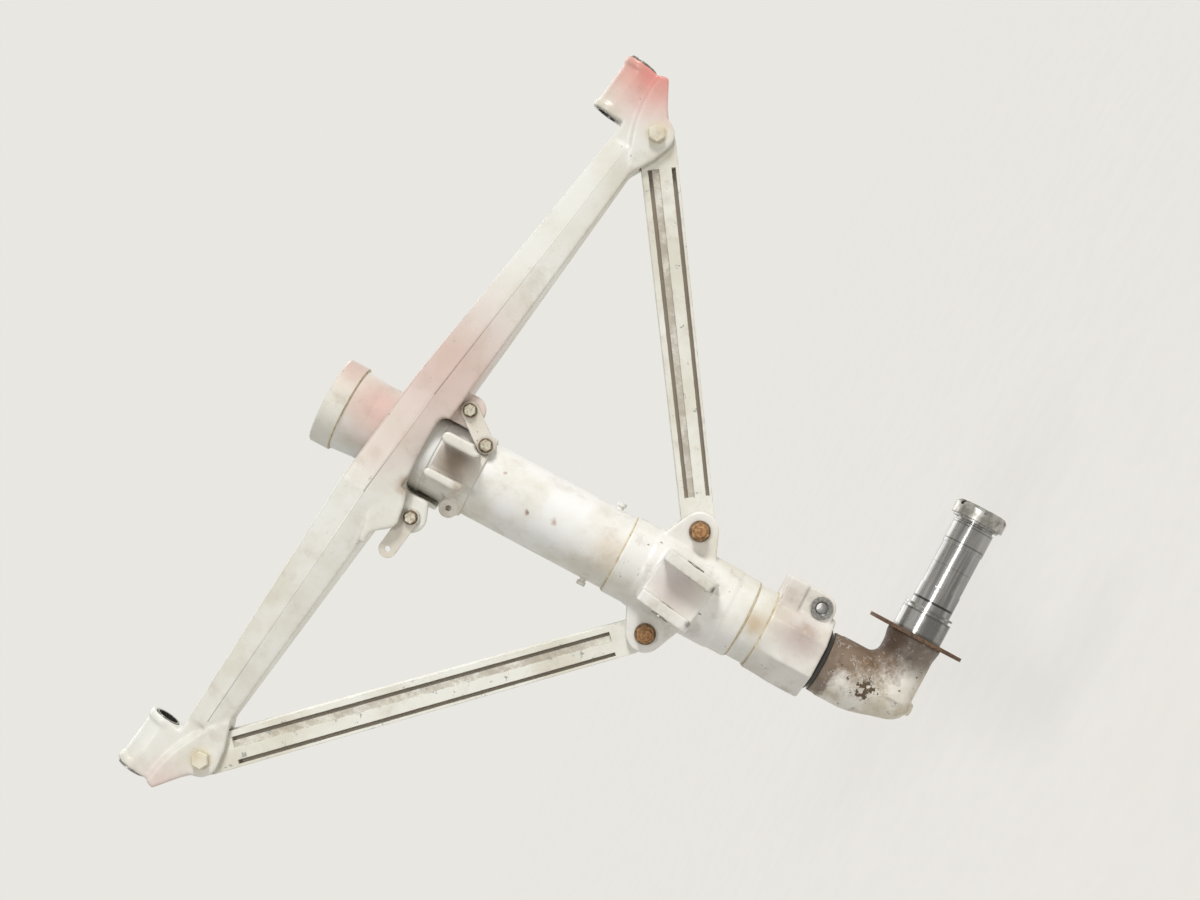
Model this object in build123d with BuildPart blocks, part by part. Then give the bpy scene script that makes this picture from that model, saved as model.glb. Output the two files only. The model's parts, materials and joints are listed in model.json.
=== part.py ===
from build123d import *
import os
from math import cos, radians, sin

os.makedirs("parts", exist_ok=True)

# Frame: +Z up along the strut barrel, +X along the cross arm's forward end,
# -Y towards the side that carries the clevises. The origin is where the
# trunnion axis crosses the barrel axis. Millimetres and degrees.

# Clearances
FIT = 0.1
SEAT = 0.2
RUN = 0.05
SLOT_GAP = 0.4

# Trunnion axis
RAKE = 8.0
TRUNNION_DIR = Vector(cos(radians(RAKE)), 0, -sin(radians(RAKE)))
TRUNNION_UP = Vector(sin(radians(RAKE)), 0, cos(radians(RAKE)))

# Barrel tube
BARREL_TOP = 44.0
BARREL_BOTTOM = -432.0
BARREL_BORE_R = 30.0
BARREL_WALL = 5.0
BARREL_R = BARREL_BORE_R + BARREL_WALL
NECK_STEP = 1.0
NECK_R = BARREL_R + NECK_STEP
NECK_BOTTOM = -56.0
SHOULDER_STEP = 2.0
SHOULDER_R = NECK_R + SHOULDER_STEP
SHOULDER_TOP = BARREL_TOP - 13.0
SHOULDER_BOTTOM = SHOULDER_TOP - 21.0

# Top cap and filler
CAP_WALL = 4.0
CAP_R = NECK_R + CAP_WALL
CAP_TOP = BARREL_TOP + 6.0
CAP_RECESS_R = BARREL_BORE_R + 1.0
CAP_RECESS_DEPTH = 14.0
CAP_RECESS_FLOOR = CAP_TOP - CAP_RECESS_DEPTH
CAP_PLUG_H = 18.0
CAP_PLUG_BOTTOM = CAP_RECESS_FLOOR - CAP_PLUG_H
CAP_EDGE = 1.5
FILLER_R = 5.0
FILLER_HEX_R = 9.0
FILLER_HEX_H = 5.0
FILLER_STEM_R = 3.9
FILLER_RISE = 12.0
FILLER_TOP = CAP_RECESS_FLOOR + FILLER_RISE
FILLER_TAIL = 4.0
FILLER_BOTTOM = CAP_PLUG_BOTTOM - FILLER_TAIL
VALVE_CAP_R = 6.0
VALVE_CAP_H = 8.0

# Knee collar at the barrel's lower end
KNEE_WALL = 3.0
KNEE_FLATS = 2 * (BARREL_R + KNEE_WALL)
KNEE_LIP_T = 4.0
KNEE_BOTTOM = BARREL_BOTTOM - KNEE_LIP_T
KNEE_H = 55.0
KNEE_TOP = KNEE_BOTTOM + KNEE_H
KNEE_FLAT_H = 30.0
KNEE_BLEND = KNEE_BOTTOM + KNEE_FLAT_H
KNEE_LUG_X = BARREL_R + 7.0
KNEE_LUG_Z = KNEE_BOTTOM + 18.0
KNEE_LUG_R = 13.0
KNEE_LUG_TOP = KNEE_TOP - 1.0
KNEE_LUG_W = 44.0
KNEE_STEP_Z = KNEE_BLEND + 6.0
KNEE_STEP_W = KNEE_LUG_W + 6.0
KNEE_BORE_R = 4.8
KNEE_BUSH_WALL = 1.5
KNEE_BUSH_R = KNEE_BORE_R + KNEE_BUSH_WALL
KNEE_BUSH_FLANGE_R = KNEE_BUSH_R + 3.7
KNEE_BUSH_FLANGE_T = 2.0
KNEE_BORE_CHAMFER = 1.2

# Cross arm
HUB_HALF = 52.0
HUB_TOP = -2.5
HUB_UNDERSIDE = -49.0
ARM_TIP_DEPTH = 35.0
ARM_TIP_INSET = 24.0
ARM_TIP_TOP = -16.0
ARM_TIP_UNDERSIDE = -48.0
ARM_RIDGE = 2.6
SKIRT_WALL = 7.4
SKIRT_R = NECK_R + SKIRT_WALL
SKIRT_BOTTOM = -78.0
HUB_DEPTH = 2 * (SKIRT_R + 1.1)
WINDOW_TOP = -46.0
WINDOW_LEFT = 5.4 - SKIRT_R
WINDOW_RIGHT = SKIRT_R - 8.9
WINDOW_CORNER_R = 7.0

# Strap tabs on the cross arm
TAB_INSET = 6.0
TAB_Y = TAB_INSET - BARREL_R
TAB_T = 6.0
TAB_R = 14.0
FORWARD_TAB_X = SKIRT_R + 6.5
FORWARD_TAB_Z = SKIRT_BOTTOM + 12.3
AFT_TAB_X = -SKIRT_R - 13.4
AFT_TAB_Z = SKIRT_BOTTOM + 14.2

# Shoulder wall over the aft tab: its lower edge, from the window to its aft end
SHOULDER_WALL_Y = 2.0 - HUB_DEPTH / 2
SHOULDER_WALL_T = 4.5
SHOULDER_WALL_START_Z = WINDOW_TOP - 5.0
SHOULDER_WALL_FOOT_X = AFT_TAB_X + 6.0
SHOULDER_WALL_FOOT_Z = WINDOW_TOP - 9.0
SHOULDER_WALL_LOW_X = AFT_TAB_X - 9.0
SHOULDER_WALL_LOW_Z = WINDOW_TOP - 11.0
SHOULDER_WALL_BEND_X = AFT_TAB_X - 18.0
SHOULDER_WALL_BEND_Z = WINDOW_TOP - 5.0
SHOULDER_WALL_RISE_X = AFT_TAB_X - 25.0
SHOULDER_WALL_RISE_Z = WINDOW_TOP + 4.0
SHOULDER_WALL_END_X = AFT_TAB_X - 38.0
SHOULDER_WALL_END_Z = WINDOW_TOP + 6.0
SHOULDER_WALL_END_TOP = WINDOW_TOP + 12.0

# Structural bolts, three eighths of an inch
BOLT_R = 4.76
BOLT_HEAD_RIM = 3.44
BOLT_HEAD_R = BOLT_R + BOLT_HEAD_RIM
BOLT_HEAD_T = 6.4
NUT_T = 8.5
BOLT_STICKOUT = 5.0
WASHER_R = BOLT_HEAD_R + 1.4
WASHER_T = 1.6

# Braces
BRACE_T = 22.0
BRACE_TOP_W = 33.0
BRACE_BOTTOM_W = 29.0
BRACE_TOP_EYE_R = 15.5
BRACE_BOTTOM_EYE_R = 12.4
BRACE_EYE_GAP = 1.5
BRACE_BUSH_WALL = 2.24
BRACE_BUSH_R = BOLT_R + BRACE_BUSH_WALL
BRACE_FLUTE_START = 30.0
BRACE_FLUTE_DEPTH = 7.5
BRACE_STEP_DEPTH = 2.0
# Flutes and step across the brace, as shares of its half width from the middle
OUTER_FLUTE_FROM = 0.84
OUTER_FLUTE_TO = 0.62
STEP_FROM = -0.06
INNER_FLUTE_FROM = -0.44
INNER_FLUTE_TO = -0.66

# Trunnion bushings
TRUNNION_BORE_R = 9.53
TRUNNION_BUSH_WALL = 1.97
TRUNNION_BUSH_R = TRUNNION_BORE_R + TRUNNION_BUSH_WALL
TRUNNION_BUSH_FLANGE_R = TRUNNION_BUSH_R + 2.5
TRUNNION_BUSH_FLANGE_T = 1.5

# Arm tips, measured along and up from the trunnion axis
FORWARD_BOLT_ALONG = 350.5
AFT_BOLT_ALONG = 328.5
TIP_BOLT_DROP = 46.5
BOSS_WALL = 2.7
BOSS_WAIST_R = TRUNNION_BUSH_R + BOSS_WALL
BOSS_R = BOSS_WAIST_R + 1.8
BOSS_RIM = 7.0
BOSS_LENGTH = 54.0
BOSS_INNER_OFFSET = -10.0
SLOT_HALF = BRACE_T / 2 + SLOT_GAP
TIP_WEB_T = 3.6
TIP_WEB_DEPTH = 2 * (SLOT_HALF + TIP_WEB_T)
CHEEK_T = 7.1
CHEEK_OUTER_Y = SLOT_HALF + CHEEK_T
# Cheek outline, measured from the brace bolt: along is out to the boss's far end
CHEEK_END_ALONG = 44.0
CHEEK_END_UP = 28.0
CHEEK_MOUTH_ALONG = 46.0
CHEEK_MOUTH_UP = 20.0
CHEEK_NOSE_ALONG = 16.0
CHEEK_CROWN_ALONG = 8.0
CHEEK_CROWN_UP = 24.5
CHEEK_BROW_ALONG = -9.0
CHEEK_BROW_UP = 19.0
CHEEK_SLOPE_ALONG = -25.0
CHEEK_SLOPE_UP = 11.0
CHEEK_TAIL_ALONG = -42.0
CHEEK_TAIL_UP = -1.5
CHEEK_SOLE_ALONG = -20.0
CHEEK_SOLE_UP = -11.5
CHEEK_CHIN_ALONG = -4.0
CHEEK_CHIN_UP = -15.5
CHEEK_JOWL_ALONG = 10.0
CHEEK_JOWL_UP = -12.5
# Web outline, measured from the brace bolt
WEB_END_CORNER = 1.0
WEB_END_UP = 30.0
WEB_HEEL_INSET = 8.0
WEB_HEEL_UP = 16.0
WEB_THROAT_ALONG = 12.0
WEB_THROAT_UP = -6.0
WEB_SOLE_ALONG = -32.0
WEB_TAIL_ALONG = -50.0

# Brace collar with its ears and the side brace clevis
COLLAR_GAP = 18.0
COLLAR_H = 123.0
COLLAR_BAND_BOTTOM = KNEE_TOP + COLLAR_GAP
COLLAR_TOP = COLLAR_BAND_BOTTOM + COLLAR_H
COLLAR_BODY_TOP = COLLAR_TOP - 23.0
COLLAR_BODY_BOTTOM = COLLAR_BAND_BOTTOM + 18.0
COLLAR_WALL = 2.2
COLLAR_R = BARREL_R + COLLAR_WALL
COLLAR_BODY_R = COLLAR_R + 1.0
EAR_BOLT_X = COLLAR_BODY_R + SLOT_GAP + BRACE_BOTTOM_EYE_R
EAR_BOLT_Z = COLLAR_TOP - 52.4
EAR_R = 17.0
EAR_T = 6.5
EAR_ROOT_X = COLLAR_BODY_R - 9.2
EAR_ROOT_TOP = COLLAR_BODY_TOP
EAR_ROOT_BOTTOM = EAR_ROOT_TOP - 57.0
SIDE_CLEVIS_Z = COLLAR_TOP - 58.0
SIDE_CLEVIS_CENTRE_X = -3.0
SIDE_CLEVIS_GAP = 30.0
SIDE_CHEEK_T = 11.0
SIDE_CHEEK_LENGTH = 52.0
SIDE_CHEEK_CORNER_R = 8.0
SIDE_PAD_Y = -COLLAR_BODY_R - 2.8
SIDE_BORE_Y = SIDE_PAD_Y - 10.0
SIDE_CHEEK_FRONT_Y = SIDE_BORE_Y - 9.0
CLEVIS_BORE_R = 4.8
CLEVIS_BUSH_WALL = 1.7
CLEVIS_BUSH_R = CLEVIS_BORE_R + CLEVIS_BUSH_WALL
CLEVIS_BUSH_FLANGE_R = CLEVIS_BUSH_R + 2.0
CLEVIS_BUSH_FLANGE_T = 1.2

# Uplock saddle with its two lugs and the strap posts
SADDLE_TOP = NECK_BOTTOM - 2.0
SADDLE_H = 41.0
SADDLE_BOTTOM = SADDLE_TOP - SADDLE_H
SADDLE_WALL = 2.8
SADDLE_R = BARREL_R + SADDLE_WALL
FORWARD_LUG_X = 20.6
FORWARD_LUG_T = 10.0
AFT_LUG_X = -13.4
AFT_LUG_T = 7.5
LUG_H = 36.0
LUG_TOP = SADDLE_TOP + 1.5
LUG_BOTTOM = LUG_TOP - LUG_H
LUG_BORE_Y = -SADDLE_R - 12.2
LUG_FRONT_Y = LUG_BORE_Y - 10.0
LUG_EDGE = 1.2
POST_R = 8.6
POST_HOLE_DEPTH = 7.0
BAND_TOP = SKIRT_BOTTOM - 2.0
SADDLE_HALF_W = 26.0
FORWARD_POST_X = BARREL_R - 5.7
FORWARD_POST_Z = SADDLE_BOTTOM + 6.9
AFT_POST_X = 0.6 - BARREL_R
AFT_POST_Z = SADDLE_BOTTOM + 10.3

# Straps and their screws, number ten
STRAP_W = 16.0
STRAP_T = 3.0
AFT_STRAP_END_X = AFT_TAB_X - 33.3
AFT_STRAP_END_Z = AFT_TAB_Z + 4.8
SCREW_R = 2.4
SCREW_HEAD_R = SCREW_R + 3.1
SCREW_HEAD_T = 3.6
SCREW_WASHER_R = SCREW_R + 4.0
SCREW_WASHER_T = 1.0

# Side plugs on the barrel
PLUG_Z = COLLAR_TOP + 18.0
PLUG_STEM_R = 3.0
PLUG_HEAD_R = 4.2
PLUG_STICKOUT = 6.0
PLUG_HEAD_T = 3.5

# Lower bearing, seals and rings
LOWER_BEARING_H = 72.0
LOWER_BEARING_BOTTOM = BARREL_BOTTOM + 8.0
LOWER_BEARING_TOP = LOWER_BEARING_BOTTOM + LOWER_BEARING_H
RETAINING_RING_T = 2.4
SEAL_W = 3.6
SEAL_Z = LOWER_BEARING_BOTTOM + 42.0
STATIC_SEAL_Z = LOWER_BEARING_BOTTOM + 28.0
SCRAPER_LIP = 2.6
SCRAPER_LIP_R = BARREL_BORE_R + 0.2

# Piston, and the elbow's heights that its foot depends on
PISTON_GAP = 3.0
PISTON_WALL = 7.0
PISTON_R = BARREL_BORE_R - PISTON_GAP
PISTON_BORE_R = PISTON_R - PISTON_WALL
PISTON_TOP = -34.0
PISTON_NECK_R = PISTON_R - 2.0
PISTON_NECK_BOTTOM = PISTON_TOP - 38.0
ELBOW_TOP = KNEE_BOTTOM - 6.0
PISTON_SPIGOT_R = PISTON_R - 3.0
PISTON_SPIGOT_H = 26.0
PISTON_BOTTOM = ELBOW_TOP - PISTON_SPIGOT_H
HEAD_RING_T = 3.0
HEAD_RING_SEAT_R = PISTON_R - 3.5
HEAD_RING_R = BARREL_BORE_R - 1.4
UPPER_BEARING_GAP = 0.3
PISTON_PLUG_TOP = PISTON_BOTTOM + 28.0

# Orifice tube and metering pin
ORIFICE_TUBE_R = 12.0
ORIFICE_TUBE_BORE_R = 10.0
ORIFICE_TUBE_BOTTOM = CAP_PLUG_BOTTOM - 280.0
ORIFICE_PLATE_T = 5.0
ORIFICE_R = 5.0
METERING_PIN_R = 4.4
METERING_PIN_TIP_R = 2.6
METERING_PIN_TOP = PISTON_TOP - 6.0

# Wheel axle's seats, and what is fitted round them
AXLE_SEAT_R = 19.05
AXLE_SPIGOT_R = AXLE_SEAT_R - 1.05
AXLE_MID_R = AXLE_SEAT_R - 0.65
THREAD_R = AXLE_SEAT_R - 1.65
GROOVE_R = AXLE_SEAT_R + 0.95
SHOULDER_AXLE_R = GROOVE_R + 3.0
SPACER_RING_T = 2.0
SPACER_RING_R = SHOULDER_AXLE_R - 0.4
AXLE_WALL = 5.4
AXLE_BORE_R = THREAD_R - AXLE_WALL

# Axle elbow
AXLE_DROP = 64.0
AXLE_Z = ELBOW_TOP - AXLE_DROP
ELBOW_WALL = 2.2
ELBOW_R = PISTON_R + ELBOW_WALL
ELBOW_RIM_H = 8.0
ELBOW_RIM_R = ELBOW_R - 0.8
ELBOW_KNEE = AXLE_Z + 36.0
ELBOW_STUB_WALL = 5.6
ELBOW_STUB_R = AXLE_SPIGOT_R + ELBOW_STUB_WALL
ELBOW_HIP_R = ELBOW_STUB_R - 2.1
ELBOW_FACE_R = ELBOW_STUB_R + 1.8
ELBOW_BOTTOM = AXLE_Z - ELBOW_STUB_R - 0.9
ELBOW_FACE_X = 57.0
ELBOW_FLARE = 12.0
ELBOW_THROAT_R = 9.0
HEEL_R = 6.0
HEEL_X = -1.5
HEEL_DROP = 2.5

# Brake flange, and the axle's stations along X
FLANGE_T = 3.2
FLANGE_BOLT_CIRCLE = 2 * (ELBOW_FACE_R + 10.6)
FLANGE_R = FLANGE_BOLT_CIRCLE / 2 + 8.5
FLANGE_HOLES = 6
FLANGE_HOLE_R = 3.3
SHOULDER_AXLE_END = ELBOW_FACE_X + FLANGE_T + 20.3
GROOVE_END = SHOULDER_AXLE_END + 2.5
INNER_SEAT_END = GROOVE_END + SPACER_RING_T + 21.0
OUTER_SEAT_START = INNER_SEAT_END + 40.0
OUTER_SEAT_END = OUTER_SEAT_START + 22.0
AXLE_END = OUTER_SEAT_END + 16.0
AXLE_SPIGOT_START = 12.0
AXLE_NUT_START = OUTER_SEAT_END + 5.0
AXLE_NUT_END = AXLE_NUT_START + 13.0
AXLE_NUT_R = THREAD_R + 7.0
AXLE_NUT_CHAMFER = 3.0
NUT_SLOTS = 6
NUT_SLOT_W = 4.0
NUT_SLOT_DEPTH = 5.0
NUT_WASHER_T = 2.0


def trunnion_point(along, up, y=0.0):
    return TRUNNION_DIR * along + TRUNNION_UP * up + Vector(0, y, 0)


def across_arm(along):
    """Plane square to the trunnion axis: local x runs along +Y, local y up."""
    return Plane(origin=trunnion_point(along, 0), x_dir=(0, 1, 0), z_dir=TRUNNION_DIR)


def arm_front(y):
    """Plane facing -Y: local x along the trunnion axis, local y up."""
    return Plane(origin=(0, y, 0), x_dir=TRUNNION_DIR, z_dir=(0, -1, 0))


def barrel_front(y):
    """Plane facing -Y: local x along +X, local y along +Z."""
    return Plane(origin=(0, y, 0), x_dir=(1, 0, 0), z_dir=(0, -1, 0))


def facing_x(x, z=0.0):
    """Plane facing +X: local x along +Y, local y along +Z."""
    return Plane(origin=(x, 0, z), x_dir=(0, 1, 0), z_dir=(1, 0, 0))


def level(z):
    return Plane.XY.offset(z)


def finish(part, name):
    part.label = name
    export_step(part, f"parts/{name}.step")


def turned(points):
    """Revolve sketch outline about Z from (radius, height) points."""
    with BuildPart() as body:
        with BuildSketch(Plane.XZ):
            with BuildLine():
                Polyline(*points, close=True)
            make_face()
        revolve(axis=Axis.Z)
    return body.part


def bolt(origin, direction, radius, length, head_r, head_t):
    """Hex bolt: the head's underside is at origin and the shank runs along direction."""
    seat = Plane(origin=origin, z_dir=direction)
    with BuildPart() as body:
        with BuildSketch(seat):
            RegularPolygon(head_r, 6)
        extrude(amount=-head_t)
        head_top = body.faces().filter_by(Axis(origin, direction)).sort_by(Axis(origin, direction))[0]
        chamfer(head_top.edges(), length=head_t / 8)
        with BuildSketch(seat):
            Circle(radius)
        extrude(amount=length)
        shank_end = body.faces().filter_by(Axis(origin, direction)).sort_by(Axis(origin, direction))[-1]
        chamfer(shank_end.edges(), length=radius / 8)
    return body.part


def hex_nut(origin, direction, radius, nut_r, nut_t):
    """Plain hex nut with its seat at origin, standing along direction."""
    seat = Plane(origin=origin, z_dir=direction)
    with BuildPart() as body:
        with BuildSketch(seat):
            RegularPolygon(nut_r, 6)
            Circle(radius, mode=Mode.SUBTRACT)
        extrude(amount=nut_t)
    return body.part


def ring(origin, direction, inner_r, outer_r, thickness):
    """Flat ring standing on origin along direction."""
    with BuildPart() as body:
        with BuildSketch(Plane(origin=origin, z_dir=direction)):
            Circle(outer_r)
            Circle(inner_r, mode=Mode.SUBTRACT)
        extrude(amount=thickness)
    return body.part


def group(solids):
    return Compound(children=list(solids))


# Places of the brace bolts
forward_tip = trunnion_point(FORWARD_BOLT_ALONG, -TIP_BOLT_DROP)
aft_tip = trunnion_point(-AFT_BOLT_ALONG, -TIP_BOLT_DROP)
forward_ear = Vector(EAR_BOLT_X, 0, EAR_BOLT_Z)
aft_ear = Vector(-EAR_BOLT_X, 0, EAR_BOLT_Z)

# Barrel tube
with BuildPart() as barrel_tube:
    with BuildSketch(Plane.XZ):
        with BuildLine():
            Polyline(
                (BARREL_BORE_R, BARREL_BOTTOM),
                (BARREL_R, BARREL_BOTTOM),
                (BARREL_R, NECK_BOTTOM),
                (NECK_R, NECK_BOTTOM + NECK_R - BARREL_R),
                (NECK_R, SHOULDER_BOTTOM),
                (SHOULDER_R, SHOULDER_TOP),
                (NECK_R, SHOULDER_TOP),
                (NECK_R, BARREL_TOP),
                (BARREL_BORE_R, BARREL_TOP),
                close=True,
            )
        make_face()
    revolve(axis=Axis.Z)
    with BuildSketch(facing_x(0, PLUG_Z)):
        Circle(PLUG_STEM_R + FIT)
    extrude(amount=BARREL_R + PLUG_STICKOUT, both=True, mode=Mode.SUBTRACT)
finish(barrel_tube.part, "barrel_tube")

# Top cap: a screwed ring over the barrel with a plug wall inside
cap_plug_r = BARREL_BORE_R - FIT
with BuildPart() as top_cap:
    with BuildSketch(Plane.XZ):
        with BuildLine():
            Polyline(
                (FILLER_R + FIT, CAP_PLUG_BOTTOM),
                (cap_plug_r, CAP_PLUG_BOTTOM),
                (cap_plug_r, BARREL_TOP + SEAT),
                (NECK_R + FIT, BARREL_TOP + SEAT),
                (NECK_R + FIT, SHOULDER_TOP + SEAT),
                (CAP_R, SHOULDER_TOP + SEAT),
                (CAP_R, CAP_TOP - CAP_EDGE),
                (CAP_R - CAP_EDGE, CAP_TOP),
                (CAP_RECESS_R, CAP_TOP),
                (CAP_RECESS_R - CAP_EDGE * 4, CAP_RECESS_FLOOR),
                (FILLER_R + FIT, CAP_RECESS_FLOOR),
                close=True,
            )
        make_face()
    revolve(axis=Axis.Z)
    with PolarLocations(CAP_RECESS_R - CAP_EDGE * 8, 2):
        with Locations((0, 0, CAP_RECESS_FLOOR)):
            Hole(radius=SCREW_R, depth=CAP_EDGE * 4)
finish(top_cap.part, "top_cap")

# Filler valve and its dust cap, standing in the cap's recess
with BuildPart() as filler_valve:
    with BuildSketch(level(CAP_RECESS_FLOOR)):
        RegularPolygon(FILLER_HEX_R, 6)
    extrude(amount=FILLER_HEX_H)
    with BuildSketch(level(FILLER_BOTTOM)):
        Circle(FILLER_R)
    extrude(amount=CAP_RECESS_FLOOR - FILLER_BOTTOM)
    with BuildSketch(level(CAP_RECESS_FLOOR + FILLER_HEX_H)):
        Circle(FILLER_STEM_R)
    extrude(amount=FILLER_TOP - CAP_RECESS_FLOOR - FILLER_HEX_H)
    with Locations((0, 0, FILLER_TOP)):
        Hole(radius=FILLER_STEM_R / 2)
finish(filler_valve.part, "filler_valve")

valve_cap_bottom = CAP_RECESS_FLOOR + FILLER_HEX_H + SEAT
finish(
    turned(
        [
            (FILLER_STEM_R + FIT, valve_cap_bottom),
            (VALVE_CAP_R, valve_cap_bottom),
            (VALVE_CAP_R, valve_cap_bottom + VALVE_CAP_H - 1),
            (VALVE_CAP_R - 1, valve_cap_bottom + VALVE_CAP_H),
            (0, valve_cap_bottom + VALVE_CAP_H),
            (0, FILLER_TOP + SEAT),
            (FILLER_STEM_R + FIT, FILLER_TOP + SEAT),
        ]
    ),
    "valve_cap",
)

# Orifice tube hung from the plug wall, with the orifice plate at its foot
with BuildPart() as orifice_tube:
    with BuildSketch(level(ORIFICE_TUBE_BOTTOM)):
        Circle(ORIFICE_TUBE_R)
        Circle(ORIFICE_TUBE_BORE_R, mode=Mode.SUBTRACT)
    extrude(amount=CAP_PLUG_BOTTOM - ORIFICE_TUBE_BOTTOM)
    with BuildSketch(facing_x(0, (CAP_PLUG_BOTTOM + ORIFICE_TUBE_BOTTOM) / 4)):
        Circle(PLUG_STEM_R)
    extrude(amount=ORIFICE_TUBE_R * 2, both=True, mode=Mode.SUBTRACT)
finish(orifice_tube.part, "orifice_tube")

orifice_plate = ring(
    (0, 0, ORIFICE_TUBE_BOTTOM), (0, 0, 1), ORIFICE_R, ORIFICE_TUBE_BORE_R - FIT, ORIFICE_PLATE_T
)
finish(orifice_plate, "orifice_plate")


def arm_section(plane, top, underside, depth):
    """Six sided section with a shallow ridge along its front and back."""
    flank = depth / 2 - ARM_RIDGE
    middle = (top + underside) / 2
    with BuildSketch(plane) as section:
        with BuildLine():
            Polyline(
                (-flank, top),
                (-depth / 2, middle),
                (-flank, underside),
                (flank, underside),
                (depth / 2, middle),
                (flank, top),
                close=True,
            )
        make_face()
    return section.sketch


def cheek_outline(side, along):
    """Rounded cheek that reaches from the boss's far end round the brace bolt."""
    def at(dx, dz):
        return (side * (along + dx), -TIP_BOLT_DROP + dz)
    end = at(CHEEK_END_ALONG, CHEEK_END_UP)
    crown = at(CHEEK_CROWN_ALONG, CHEEK_CROWN_UP)
    brow = at(CHEEK_BROW_ALONG, CHEEK_BROW_UP)
    slope = at(CHEEK_SLOPE_ALONG, CHEEK_SLOPE_UP)
    tail = at(CHEEK_TAIL_ALONG, CHEEK_TAIL_UP)
    sole = at(CHEEK_SOLE_ALONG, CHEEK_SOLE_UP)
    chin = at(CHEEK_CHIN_ALONG, CHEEK_CHIN_UP)
    jowl = at(CHEEK_JOWL_ALONG, CHEEK_JOWL_UP)
    nose = at(CHEEK_NOSE_ALONG, 0)
    mouth = at(CHEEK_MOUTH_ALONG, CHEEK_MOUTH_UP)
    with BuildSketch(arm_front(0)) as outline:
        with BuildLine():
            Spline(end, crown, brow, slope, tail)
            Polyline(tail, sole, chin)
            ThreePointArc(chin, jowl, nose)
            Polyline(nose, mouth, end)
        make_face()
    return outline.sketch


def tip_web_outline(side, along):
    """Block under the trunnion boss that joins it to the arm."""
    def at(dx, dz):
        return (side * (along + dx), -TIP_BOLT_DROP + dz)
    boss_start = BOSS_INNER_OFFSET + 1
    boss_end = BOSS_INNER_OFFSET + BOSS_LENGTH
    with BuildSketch(arm_front(0)) as outline:
        with BuildLine():
            Polyline(
                at(boss_start, TIP_BOLT_DROP),
                at(boss_end, TIP_BOLT_DROP),
                at(boss_end - WEB_END_CORNER, WEB_END_UP),
                at(boss_end - WEB_HEEL_INSET, WEB_HEEL_UP),
                at(WEB_THROAT_ALONG, WEB_THROAT_UP),
                at(WEB_SOLE_ALONG, CHEEK_TAIL_UP),
                at(WEB_TAIL_ALONG, CHEEK_TAIL_UP),
                at(WEB_TAIL_ALONG, TIP_BOLT_DROP + ARM_TIP_TOP),
                at(boss_start, TIP_BOLT_DROP + ARM_TIP_TOP),
                close=True,
            )
        make_face()
    return outline.sketch


def brace_slot(side, tip, ear, eye_r):
    """Slot outline for a brace's end: round at the bolt and open towards the ear."""
    run = (ear - tip).normalized()
    with BuildSketch(Plane(origin=tip, x_dir=run, z_dir=(0, -1, 0))) as outline:
        Circle(eye_r)
        with Locations((eye_r * 2, 0)):
            Rectangle(eye_r * 4, eye_r * 2)
    return outline.sketch


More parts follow.
